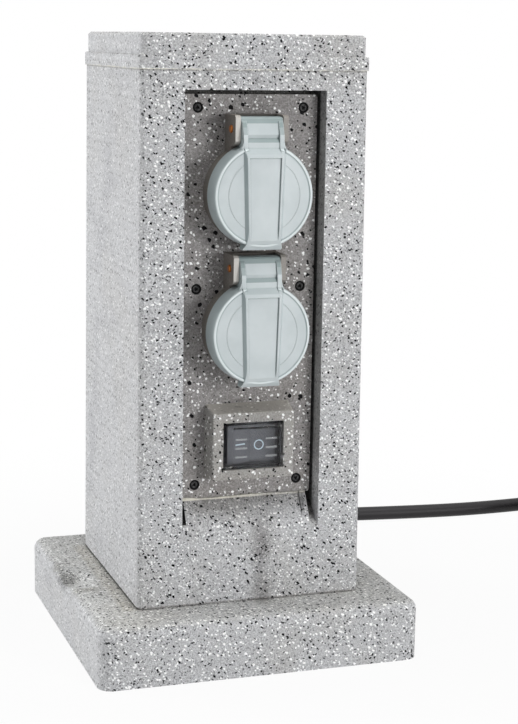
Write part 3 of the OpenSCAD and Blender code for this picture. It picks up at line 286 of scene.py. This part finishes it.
WHITE = (1, 1, 1, 1)
STONE_LIGHT = srgb(212, 213, 215)
BEAD_HIGHLIGHT = srgb(224, 221, 206)
LIP_HIGHLIGHT = srgb(232, 228, 214)
BLOCK_SHADED_GREY = srgb(134, 129, 124)
BLOCK_LIT_FRONT = srgb(206, 203, 198)
FRAME_TOP_LIGHT = srgb(208, 203, 196)
LID_DARK = srgb(186, 195, 197)
LID_LIGHT = srgb(197, 205, 207)
LID_RIM_HIGHLIGHT = srgb(228, 236, 237)
LID_EDGE_HIGHLIGHT = srgb(232, 238, 239)
BLACK_FLECK = srgb(2, 2, 4)
PANEL_BLACK = srgb(4, 4, 6)

# Noises: scale, detail and, where it isn't 0.5, roughness
GRAIN = (1300, 2, 0.6)
MOTTLE = (260, 4, 0.65)
CLOUDS = (24, 3)
RAMP_BLOTCHES = (130, 4, 0.6)
SHADE_SPOT_PATCHES = (160, 4, 0.6)
SIDE_PATCHES = (42, 4, 0.6)
HOLLOW_SHADE_GRAINS = (850, 2)
LIP_HIGHLIGHT_PATCHES = (150, 3)
BEAD_HIGHLIGHT_PATCHES = (220, 3)
SCREW_WEAR = (900, 3)
LID_CLOUDS = (70, 4)
PLAIN_CLOUDS = (60, 3)
ROCKER_CLOUDS = (80, 3)
COVER_HAZE = (120, 3)
FINE_GRAIN = (1500, 2)

# What stirs the outlines of the flecks: the noise's scale and detail, and how far it pushes, in mm
STIRRED_BY = (650, 2)
STIRRED_FAR = 1.5

# Layers of flecks: shift of the cloud in m, cell in mm, stretch, slant in degrees, share of the cells
# that hold one, size, cover, colour
STONE_FLECKS = (
    ((0.11, 0.07, 0.19), 1.3, 1.0, 0, 0.32, 0.46, 0.7, srgb(118, 118, 120)),
    ((0.23, 0.41, 0.05), 1.35, 1.3, 38, 0.5, 0.4, 0.95, srgb(250, 251, 251)),
    ((0.31, 0.17, 0.23), 1.9, 1.4, 30, 0.55, 0.355, 1.0, WHITE),
    ((0.0, 0.0, 0.0), 1.5, 1.8, 42, 0.42, 0.4, 1.0, BLACK_FLECK),
    ((0.47, 0.29, 0.13), 1.4, 1.6, -28, 0.32, 0.4, 1.0, BLACK_FLECK))
PANEL_FLECKS = (
    ((0.11, 0.07, 0.19), 1.8, 1.0, 38, 0.52, 0.36, 0.9, srgb(244, 244, 244)),
    ((0.31, 0.17, 0.23), 2.9, 1.1, 38, 0.8, 0.31, 1.0, WHITE),
    ((0.05, 0.02, 0.07), 2.3, 1.3, 38, 0.66, 0.3, 1.0, PANEL_BLACK),
    ((0.0, 0.0, 0.0), 4.2, 1.2, 38, 0.6, 0.27, 1.0, PANEL_BLACK))

# The smallest fleck as a share of the largest, and where the soft edge begins as a share of the size
SMALLEST_FLECK = 0.45
FLECK_EDGE = 0.8


class Tree:
    """Short calls for adding nodes to a node tree."""

    def __init__(self, tree):
        self.tree = tree

    def add(self, kind, **values):
        """A new node with its settings and its inputs' values."""
        node = self.tree.nodes.new(kind)
        for key, value in values.items():
            if hasattr(node, key):
                setattr(node, key, value)
            else:
                node.inputs[key].default_value = value
        return node

    def feed(self, socket, given):
        """Gives an input its value, or links it to the output that gives it."""
        if isinstance(given, (int, float, tuple)):
            socket.default_value = given
        else:
            self.tree.links.new(given, socket)

    def math(self, kind, a, b=0.0):
        node = self.add("ShaderNodeMath", operation=kind)
        self.feed(node.inputs[0], a)
        self.feed(node.inputs[1], b)
        return node.outputs[0]

    def vector_math(self, kind, a, b=None):
        """Result of a calculation with two vectors, or the length of one."""
        node = self.add("ShaderNodeVectorMath", operation=kind)
        self.feed(node.inputs[0], a)
        if kind == "LENGTH":
            return node.outputs["Value"]
        self.feed(node.inputs["Scale" if kind == "SCALE" else 1], b)
        return node.outputs[0]

    def times(self, first, *others):
        """The product, and so the place where all the masks are."""
        for other in others:
            first = self.math("MULTIPLY", first, other)
        return first

    def inverse(self, mask):
        """Where the mask isn't."""
        return self.math("SUBTRACT", 1.0, mask)

    def distance(self, a, b):
        """Distance that two sides of a right angle span."""
        return self.math("POWER", self.math("ADD", self.times(a, a), self.times(b, b)), 0.5)

    def coords(self):
        return self.add("ShaderNodeTexCoord").outputs["Object"]

    def axes(self, vector):
        """The three parts of a vector."""
        split = self.add("ShaderNodeSeparateXYZ")
        self.feed(split.inputs[0], vector)
        return split.outputs

    def facing(self):
        """The three parts of the surface's direction, in the object's own frame."""
        return self.axes(self.add("ShaderNodeTexCoord").outputs["Normal"])

    def noise(self, vector, scale, detail, roughness=0.5, output="Fac"):
        node = self.add("ShaderNodeTexNoise", Scale=scale, Detail=detail, Roughness=roughness)
        self.feed(node.inputs["Vector"], vector)
        return node.outputs[output]

    def rise(self, value, low, high):
        """Mask that grows smoothly from 0 at low to 1 at high."""
        node = self.add("ShaderNodeMapRange", interpolation_type="SMOOTHSTEP")
        self.feed(node.inputs["Value"], value)
        self.feed(node.inputs["From Min"], low)
        self.feed(node.inputs["From Max"], high)
        return node.outputs["Result"]

    def fall(self, value, low, high):
        """Mask that shrinks smoothly from 1 at low to 0 at high."""
        return self.inverse(self.rise(value, low, high))

    def above(self, value, low, high):
        """Mask that grows from low to high, in millimetres."""
        return self.rise(value, low * MM, high * MM)

    def below(self, value, low, high):
        """Mask that shrinks from low to high, in millimetres."""
        return self.fall(value, low * MM, high * MM)

    def between(self, value, low, high, soft=0.08):
        """Mask of a band from low to high with soft ends, in millimetres."""
        return self.math("SUBTRACT", self.above(value, low - soft, low + soft),
                         self.above(value, high - soft, high + soft))

    def patches(self, vector, noise, low, high):
        """Mask of uneven patches, where the noise is over low to high."""
        return self.rise(self.noise(vector, *noise), low, high)

    def scaled(self, value, low, high):
        """Value in 0..1 mapped to low..high."""
        node = self.add("ShaderNodeMapRange")
        node.inputs["To Min"].default_value = low
        node.inputs["To Max"].default_value = high
        self.feed(node.inputs["Value"], value)
        return node.outputs["Result"]

    def mix(self, factor, a, b):
        """The first colour, and the second as far as the factor says."""
        node = self.add("ShaderNodeMix", data_type="RGBA")
        for key, given in (("Factor", factor), (6, a), (7, b)):
            self.feed(node.inputs[key], given)
        return node.outputs[2]

    def tinted(self, factor, color, tint):
        """The colour multiplied by a tint, as far as the factor says."""
        node = self.add("ShaderNodeMix", data_type="RGBA", blend_type="MULTIPLY", clamp_result=True)
        for key, given in (("Factor", factor), (6, color), (7, tint + (1.0,))):
            self.feed(node.inputs[key], given)
        return node.outputs[2]

    def mix_shaders(self, factor, a, b):
        node = self.add("ShaderNodeMixShader")
        for key, given in (("Fac", factor), (1, a), (2, b)):
            self.feed(node.inputs[key], given)
        return node.outputs[0]


class Material(Tree):
    """One material and its node tree."""

    def __init__(self, name, roughness, metallic=0.0, color=(0.5, 0.5, 0.5, 1), gloss=0.5):
        self.mat = bpy.data.materials.new(name)
        self.mat.use_nodes = True
        super().__init__(self.mat.node_tree)
        self.shader = self.tree.nodes["Principled BSDF"]
        self.shader.inputs["Roughness"].default_value = roughness
        self.shader.inputs["Metallic"].default_value = metallic
        self.shader.inputs["Base Color"].default_value = color
        self.shader.inputs["Specular IOR Level"].default_value = gloss

    def color(self, socket):
        self.feed(self.shader.inputs["Base Color"], socket)

    def bump(self, height, strength, distance, edge=0.0):
        """Surface grain and, with edge, shading as if the edges were rounded to that radius."""
        node = self.add("ShaderNodeBump", Strength=strength, Distance=distance)
        self.feed(node.inputs["Height"], height)
        if edge:
            rounded = self.add("ShaderNodeBevel", samples=6, Radius=edge * MM)
            self.feed(node.inputs["Normal"], rounded.outputs["Normal"])
        self.feed(self.shader.inputs["Normal"], node.outputs["Normal"])


def flecks(n, vector, cell, share, size, stretch, slant_angle):
    """Mask of small flecks: one in some cells of a cloud of points, each with its own size.

    They are stretched along a line that falls to the right by the slant angle, in degrees."""
    slant = n.add("ShaderNodeMapping", vector_type="TEXTURE")
    slant.inputs["Rotation"].default_value = (0, math.radians(slant_angle), 0)
    slant.inputs["Scale"].default_value = (stretch, 1, 1)
    n.feed(slant.inputs["Vector"], vector)
    cloud = n.add("ShaderNodeTexVoronoi", Scale=1 / (cell * MM), Randomness=1.0)
    n.feed(cloud.inputs["Vector"], slant.outputs[0])
    split = n.add("ShaderNodeSeparateColor")
    n.feed(split.inputs["Color"], cloud.outputs["Color"])
    present = n.rise(split.outputs[0], 1 - share, 1.01 - share)
    limit = n.times(present, n.scaled(split.outputs[1], SMALLEST_FLECK * size, size))
    soft_from = n.times(limit, FLECK_EDGE)
    return n.fall(cloud.outputs["Distance"], soft_from, n.math("ADD", limit, 0.001))


def stirred(n, at):
    """Coordinates pushed about by a noise, so that what is drawn with them has uneven outlines."""
    push = n.vector_math("SCALE", n.noise(at, *STIRRED_BY, output="Color"), STIRRED_FAR * MM)
    return n.vector_math("ADD", at, push)


def spot(n, at, centre, radii):
    """Soft mask round a place."""
    away = n.vector_math("SUBTRACT", at, tuple(c * MM for c in centre))
    reach = n.vector_math("LENGTH", n.vector_math("DIVIDE", away, tuple(r * MM for r in radii)))
    return n.fall(reach, 0.15, 1.0)


def recessed(n, at, ground):
    """Painted shade in the post's recess: walls, ramp, gap and grooves; a painted highlight on the lip.
    """
    x, y, z = n.axes(at)
    side = n.rise(n.math("ABSOLUTE", n.facing()[0]), 0.5, 0.8)
    forward = n.below(y, *RECESS_BACK_Y)
    width = n.below(n.math("ABSOLUTE", x), *RECESS_SIDE_X)
    inside = n.times(width, forward, n.above(z, *RAMP_Z), n.below(z, *RECESS_TOP_Z))
    open_part = n.times(inside, n.inverse(side))
    depth = n.times(open_part, n.above(y, *RAMP_Y))
    blotch = n.times(depth, n.patches(at, RAMP_BLOTCHES, 0.42, 0.6))
    gap = n.times(inside, n.above(y, *GAP_Y))
    wall = n.times(inside, side, n.above(z, *WALL_Z))
    low = n.times(n.between(z, *FOOT_Z, 0.5), forward)
    slit = n.times(low, n.between(x, *SLIT_X), n.above(y, *SLIT_Y))
    groove = n.times(low, n.inverse(side), n.between(x, *GROOVE_X), n.above(y, *GROOVE_Y))
    # Painted shade: the ramp, darker still in uneven blotches, the gap round the panel, the side walls,
    # the slit and the groove
    for mask, tint in (
            (depth, (0.6, 0.59, 0.58)),
            (blotch, (0.7, 0.69, 0.68)),
            (gap, (0.3, 0.3, 0.29)),
            (wall, (0.72, 0.72, 0.71)),
            (slit, (0.06, 0.06, 0.06)),
            (groove, (0.35, 0.35, 0.34))):
        ground = n.tinted(mask, ground, tint)
    # Painted highlight along the lip under the panel, uneven and weaker to the right
    lip = n.times(open_part, n.between(z, *LIP_Z), n.between(y, *LIP_Y))
    fading = n.scaled(n.above(x, *LIP_FADES_X), 0.8, 0.3)
    uneven = n.scaled(n.patches(at, LIP_HIGHLIGHT_PATCHES, 0.35, 0.6), 0.6, 1.0)
    return n.mix(n.times(lip, fading, uneven), ground, LIP_HIGHLIGHT)


def painted_outer_shading(n, at, ground):
    """Painted shade in dips and hollows, at the column's foot and under the bead; painted light on base
    and bead.
    """
    x, y, z = n.axes(at)
    uneven = n.scaled(n.patches(at, SHADE_SPOT_PATCHES, 0.35, 0.6), 0.6, 1.0)
    # Soft spots of painted shade, made uneven
    for centre, radii, tint in SHADE_SPOTS:
        ground = n.tinted(n.times(spot(n, at, centre, radii), uneven), ground, tint)
    # Grainy painted shade in the hollow of the base's left edge
    grainy_shade = n.times(spot(n, at, *HOLLOW_SHADE), n.patches(at, HOLLOW_SHADE_GRAINS, 0.57, 0.62))
    # Warm painted shade in a strip beside the column's left foot
    beside = n.times(n.between(x, *STRIP_X, 2), n.between(y, *STRIP_Y, 3), n.between(z, *STRIP_Z))
    # Painted light on the left part of the base's top
    level = n.rise(n.facing()[2], 0.86, 0.99)
    lit_top = n.times(level, n.below(x, *LIT_TOP_X), n.below(z, *BASE_ONLY_Z))
    # Painted shade in the joint at the column's foot, near black at its left side
    joint = n.between(z, *JOINT_Z)
    joint_left = n.times(joint, n.below(x, *JOINT_LEFT_X))
    under_bead = n.between(z, *UNDER_BEAD_Z, 0.1)
    for mask, tint in (
            (grainy_shade, (0.1, 0.1, 0.1)),
            (beside, (0.95, 0.925, 0.88)),
            (lit_top, (1.3, 1.3, 1.29)),
            (joint, (0.7, 0.69, 0.67)),
            (joint_left, (0.08, 0.08, 0.07)),
            (under_bead, (0.72, 0.71, 0.68))):
        ground = n.tinted(mask, ground, tint)
    # Painted highlight, uneven, on the edge of the cap's bead
    patchwork = n.scaled(n.patches(at, BEAD_HIGHLIGHT_PATCHES, 0.4, 0.6), 0.1, 0.6)
    return n.mix(n.times(n.between(z, *BEAD_EDGE_Z), patchwork), ground, BEAD_HIGHLIGHT)


def painted_stone_shading(n, at, ground):
    """Everything that is painted on the stone as light and shade."""
    return painted_outer_shading(n, at, recessed(n, at, ground))


def left_side_sheen(n, at, ground):
    """The post's left side: painted sheen, which makes it paler and its flecks fainter, and darker
    patches.
    """
    left = n.fall(n.facing()[0], -1.0, -0.3)
    # Painted sheen: left-facing sides are mixed toward a light colour
    ground = n.mix(n.times(left, 0.35), ground, STONE_LIGHT)
    patch = n.patches(at, SIDE_PATCHES, 0.48, 0.68)
    ground = n.tinted(n.times(patch, left), ground, (0.88, 0.88, 0.89))
    return ground, n.scaled(left, 1.0, 0.6)


def plain_blocks(n, at, ground):
    """Hinge blocks and collars: no flecks, a grey painted as shade, and painted light on their fronts.
    """
    x, y, _ = n.axes(at)
    proud = n.below(y, *BLOCK_Y)
    block = n.mix(n.patches(at, GRAIN, 0.35, 0.65), shaded(BLOCK_SHADED_GREY, 0.8), BLOCK_SHADED_GREY)
    ground = n.mix(proud, ground, block)
    # Painted light on the blocks' front faces, weaker to the right, where the arm shades them
    front = n.times(n.fall(n.facing()[1], -0.85, -0.4), n.below(y, *BLOCK_FRONT_Y))
    front = n.times(front, n.scaled(n.above(x, *BLOCK_FADES_X), 1.0, 0.3))
    return n.mix(front, ground, BLOCK_LIT_FRONT), n.inverse(proud)


def dark_panel_edge(n, at, ground):
    """The panel's edges lie in the gap's shadow."""
    behind = n.above(n.axes(at)[1], *PANEL_EDGE_Y)
    return n.tinted(behind, ground, (0.25, 0.25, 0.25))


def lit_frame_top(n, at, ground):
    """The switch frame's upper bevel: light painted on it, which also makes its flecks fainter there.
    """
    up = n.scaled(n.rise(n.facing()[2], 0.4, 0.9), 0.0, 0.6)
    return n.mix(up, ground, FRAME_TOP_LIGHT)


def speckled(name, base, dark, light, layers, under=None, over=None):
    """Cast stone look: a mottled ground with black, grey and white flecks.

    under changes the ground before the flecks and gives their strength; over paints on them."""
    n = Material(name, 0.62, gloss=0.1)
    at = n.coords()
    where = stirred(n, at)
    fine = n.noise(at, *GRAIN)
    middle = n.noise(at, *MOTTLE)
    ground = n.mix(n.rise(fine, 0.4, 0.6), dark, light)
    ground = n.mix(n.scaled(n.rise(middle, 0.35, 0.65), 0.45, 1.0), base, ground)
    ground = n.tinted(n.patches(at, CLOUDS, 0.45, 0.7), ground, (0.955, 0.945, 0.925))
    strength = 1.0
    if under:
        ground, strength = under(n, at, ground)
    for shift, cell, stretch, slant, share, size, cover, color in layers:
        place = n.vector_math("ADD", where, shift)
        mask = flecks(n, place, cell, share, size, stretch, slant)
        ground = n.mix(n.times(mask, cover, strength), ground, color)
    # Painted shade, slight and warm, on up-facing surfaces
    ground = n.tinted(n.rise(n.facing()[2], 0.5, 0.95), ground, (1.0, 0.995, 0.965))
    if over:
        ground = over(n, at, ground)
    n.color(ground)
    n.bump(n.math("ADD", fine, middle), 0.22, 0.0004)
    return n.mat


def lid_material():
    """Pale moulded plastic: painted highlights on edges and rim, painted shade in corners, groove,
    flanks and tops.
    """
    n = Material("lid_plastic", 0.42)
    at = n.coords()
    x, y, z = n.axes(at)
    right, _, up = n.facing()
    flank = n.fall(right, -0.9, -0.3)
    arm = n.math("MAXIMUM", *(n.between(z, h + ARM[0], h + ARM[1], 0.4) for h in HINGES))
    arm_top = n.times(n.rise(up, 0.32, 0.4), arm)
    upper = n.math("MAXIMUM", arm_top, n.scaled(n.rise(up, 0.3, 0.7), 0.0, 0.3))

    # Both lids at once: the height is folded where they meet, so reach is the way to the nearer middle
    halfway = (HINGES[0] + HINGES[1]) / 2 - LID_DROP
    half_apart = (HINGES[0] - HINGES[1]) / 2
    off = n.math("ABSOLUTE", n.math("SUBTRACT", z, halfway * MM))
    reach = n.distance(x, n.math("SUBTRACT", off, half_apart * MM))
    face = n.between(y, *LID_FACE_Y, 0.05)
    groove = n.times(face, n.between(reach, *LID_GROOVE, 0.15))
    rim = n.times(face, n.between(reach, *LID_RIM, 0.1), 0.7)

    nearby = n.add("ShaderNodeAmbientOcclusion", samples=8, Distance=0.9 * MM)
    corner = n.fall(nearby.outputs["AO"], 0.45, 0.95)
    within = n.add("ShaderNodeAmbientOcclusion", samples=8, inside=True, Distance=0.5 * MM)
    edge = n.times(n.fall(within.outputs["AO"], 0.35, 0.75), 0.75)

    ground = n.mix(n.patches(at, LID_CLOUDS, 0.3, 0.7), LID_DARK, LID_LIGHT)
    # Painted shade on the left flanks, on the arm's top and other up-facing faces, and in the face's
    # groove
    ground = n.tinted(flank, ground, (0.8, 0.84, 0.84))
    ground = n.tinted(upper, ground, (0.55, 0.61, 0.6))
    ground = n.tinted(groove, ground, (0.72, 0.76, 0.76))
    # Painted highlight on the rim
    ground = n.mix(rim, ground, LID_RIM_HIGHLIGHT)
    # Painted shade in corners and creases
    ground = n.tinted(corner, ground, (0.4, 0.46, 0.46))
    # Painted highlights on the edges
    n.color(n.mix(edge, ground, LID_EDGE_HIGHLIGHT))
    n.bump(n.noise(at, *FINE_GRAIN), 0.08, 0.0002, 0.4)
    return n.mat


def plain(name, color, roughness, metallic=0.0, gloss=0.5):
    """Moulded or metal finish: slightly uneven colour and fine grain."""
    n = Material(name, roughness, metallic, color, gloss)
    at = n.coords()
    n.color(n.mix(n.patches(at, PLAIN_CLOUDS, 0.3, 0.7), shaded(color, 0.94), color))
    n.bump(n.noise(at, *FINE_GRAIN), 0.1, 0.0002)
    return n.mat


def screw_material():
    """Blackened steel, grey in patches on the head's face, its sunk ring and drive black with painted
    shade.
    """
    n = Material("black_screw", 0.6, gloss=0.1)
    at = n.coords()
    sunk = n.above(n.axes(at)[1], *SUNK_Y)
    patchwork = n.mix(n.patches(at, SCREW_WEAR, 0.35, 0.65), srgb(36, 36, 37), srgb(80, 80, 80))
    # Painted shade deepens the black in the sunk ring and drive
    n.color(n.mix(sunk, patchwork, srgb(4, 4, 5)))
    return n.mat


def rocker_material():
    """Dark grey rocker with a printed bar and ring."""
    n = Material("rocker", 0.4)
    at = n.coords()
    x, y, z = n.axes(at)
    up = n.math("SUBTRACT", z, SWITCH_Z * MM)
    reach = n.distance(n.math("SUBTRACT", x, RING_AT[0] * MM), n.math("SUBTRACT", up, RING_AT[1] * MM))
    ring = n.between(reach, *RING)
    bar = n.times(n.between(x, *BAR_X), n.between(up, *BAR_Z))
    front = n.below(y, *ROCKER_FRONT_Y)
    mark = n.times(n.math("MAXIMUM", ring, bar), front)
    grey = n.mix(n.patches(at, ROCKER_CLOUDS, 0.3, 0.7), srgb(105, 105, 109), srgb(114, 114, 118))
    n.color(n.mix(mark, grey, srgb(214, 232, 240)))
    return n.mat


def cover_material():
    """Soft clear cover, frosted on its finger ribs."""
    n = Material("clear", 0.08, 0.0, srgb(230, 232, 234))
    at = n.coords()
    rib = n.below(n.axes(at)[1], *RIB_Y)
    haze = n.patches(at, COVER_HAZE, 0.35, 0.65)
    n.feed(n.shader.inputs["Transmission Weight"], n.scaled(rib, 1.0, 0.72))
    n.feed(n.shader.inputs["Roughness"], n.scaled(haze, 0.05, 0.12))
    n.shader.inputs["IOR"].default_value = 1.25
    return n.mat


rubber = plain("rubber", srgb(38, 36, 38), 0.45, gloss=0.3)
FINISH = {
    "stone": speckled("stone", srgb(187, 187, 189), srgb(156, 157, 159), STONE_LIGHT,
                      STONE_FLECKS, under=left_side_sheen, over=painted_stone_shading),
    "panel": speckled("panel_stone", srgb(146, 143, 143), srgb(124, 121, 120), srgb(168, 166, 165),
                      PANEL_FLECKS, under=plain_blocks, over=dark_panel_edge),
    "lid": lid_material(),
    "insert": plain("insert_plastic", srgb(180, 192, 192), 0.45),
    "black_plastic": plain("black_plastic", srgb(24, 24, 25), 0.5, gloss=0.22),
    "dark_plastic": rocker_material(),
    "clear": cover_material(),
    "rubber": rubber,
    "black_screw": screw_material(),
    "steel": plain("steel", srgb(176, 177, 180), 0.3, 1.0),
    "copper": plain("copper", srgb(196, 118, 56), 0.3, 0.6),
    "brass": plain("brass", srgb(212, 175, 105), 0.3, 1.0),
    "core_brown": plain("core_brown", srgb(110, 66, 38), 0.5),
    "core_blue": plain("core_blue", srgb(46, 84, 165), 0.5),
    "core_green": plain("core_green", srgb(120, 165, 48), 0.5)}

# Two pieces look different from the others of their slot
OWN_FINISH = {
    "switch_frame": speckled("frame_stone", srgb(163, 161, 158), srgb(142, 140, 137),
                             srgb(178, 176, 173), PANEL_FLECKS, over=lit_frame_top),
    "switch_body": plain("bezel_plastic", srgb(84, 82, 85), 0.5)}

for part in frame["record"]["subparts"]:
    material = OWN_FINISH.get(part["node"], FINISH[part["material_slot"]])
    for slot in nodes[part["node"]].material_slots:
        slot.material = material
cord.data.materials.append(rubber)


# Floor, light and backdrop
AMBIENT = 0.22
FLOOR_HALF = 6.0
MIDDLE = (0, 0, 0.15)


def make_floor():
    """Grey floor that catches soft shadows and looks nearly white, fully so away from the post."""
    corners = [(sx * FLOOR_HALF, sy * FLOOR_HALF, 0) for sx, sy in ((-1, -1), (1, -1), (1, 1), (-1, 1))]
    floor = mesh_object("floor", corners, [(0, 1, 2, 3)])
    n = Material("floor", 0.9, 0.0, (0.76, 0.76, 0.76, 1))
    rays = n.add("ShaderNodeLightPath").outputs
    seen = n.math("MAXIMUM", rays["Is Camera Ray"], rays["Is Glossy Ray"])
    away = n.vector_math("LENGTH", n.coords())
    share = n.scaled(n.rise(away, 0.1, 0.42), 0.92, 1.0)
    glow = n.add("ShaderNodeEmission", Color=WHITE, Strength=1.0)
    shown = n.mix_shaders(n.times(seen, share), n.shader.outputs["BSDF"], glow.outputs["Emission"])
    n.feed(n.tree.nodes["Material Output"].inputs["Surface"], shown)
    floor.data.materials.append(n.mat)


def make_world():
    """Soft ambient light behind a white backdrop."""
    world = bpy.data.worlds.new("world")
    world.use_nodes = True
    world.node_tree.nodes.clear()
    bpy.context.scene.world = world
    n = Tree(world.node_tree)
    rays = n.add("ShaderNodeLightPath").outputs
    seen = n.math("MAXIMUM", rays["Is Camera Ray"], rays["Is Glossy Ray"])
    seen = n.math("MAXIMUM", seen, rays["Is Transmission Ray"])
    soft = n.add("ShaderNodeBackground", Color=WHITE, Strength=AMBIENT)
    white = n.add("ShaderNodeBackground", Color=WHITE, Strength=1.0)
    out = n.add("ShaderNodeOutputWorld")
    n.feed(out.inputs["Surface"], n.mix_shaders(seen, soft.outputs[0], white.outputs[0]))


def area_light(name, at, size, power):
    """A square lamp of this size that shines on the middle of the post."""
    data = bpy.data.lights.new(name, "AREA")
    data.shape = "SQUARE"
    data.size = size
    data.energy = power
    obj = bpy.data.objects.new(name, data)
    obj.location = at
    obj.rotation_euler = (Vector(MIDDLE) - Vector(at)).to_track_quat("-Z", "Y").to_euler()
    bpy.context.scene.collection.objects.link(obj)


make_floor()
make_world()
area_light("key", (0.85, -1.6, 0.35), 0.6, 15)
area_light("side", (-1.4, 0.75, 0.35), 0.8, 16.3)
area_light("top", (0.0, -0.3, 1.9), 1.2, 20)

bpy.context.scene.view_settings.view_transform = "Standard"
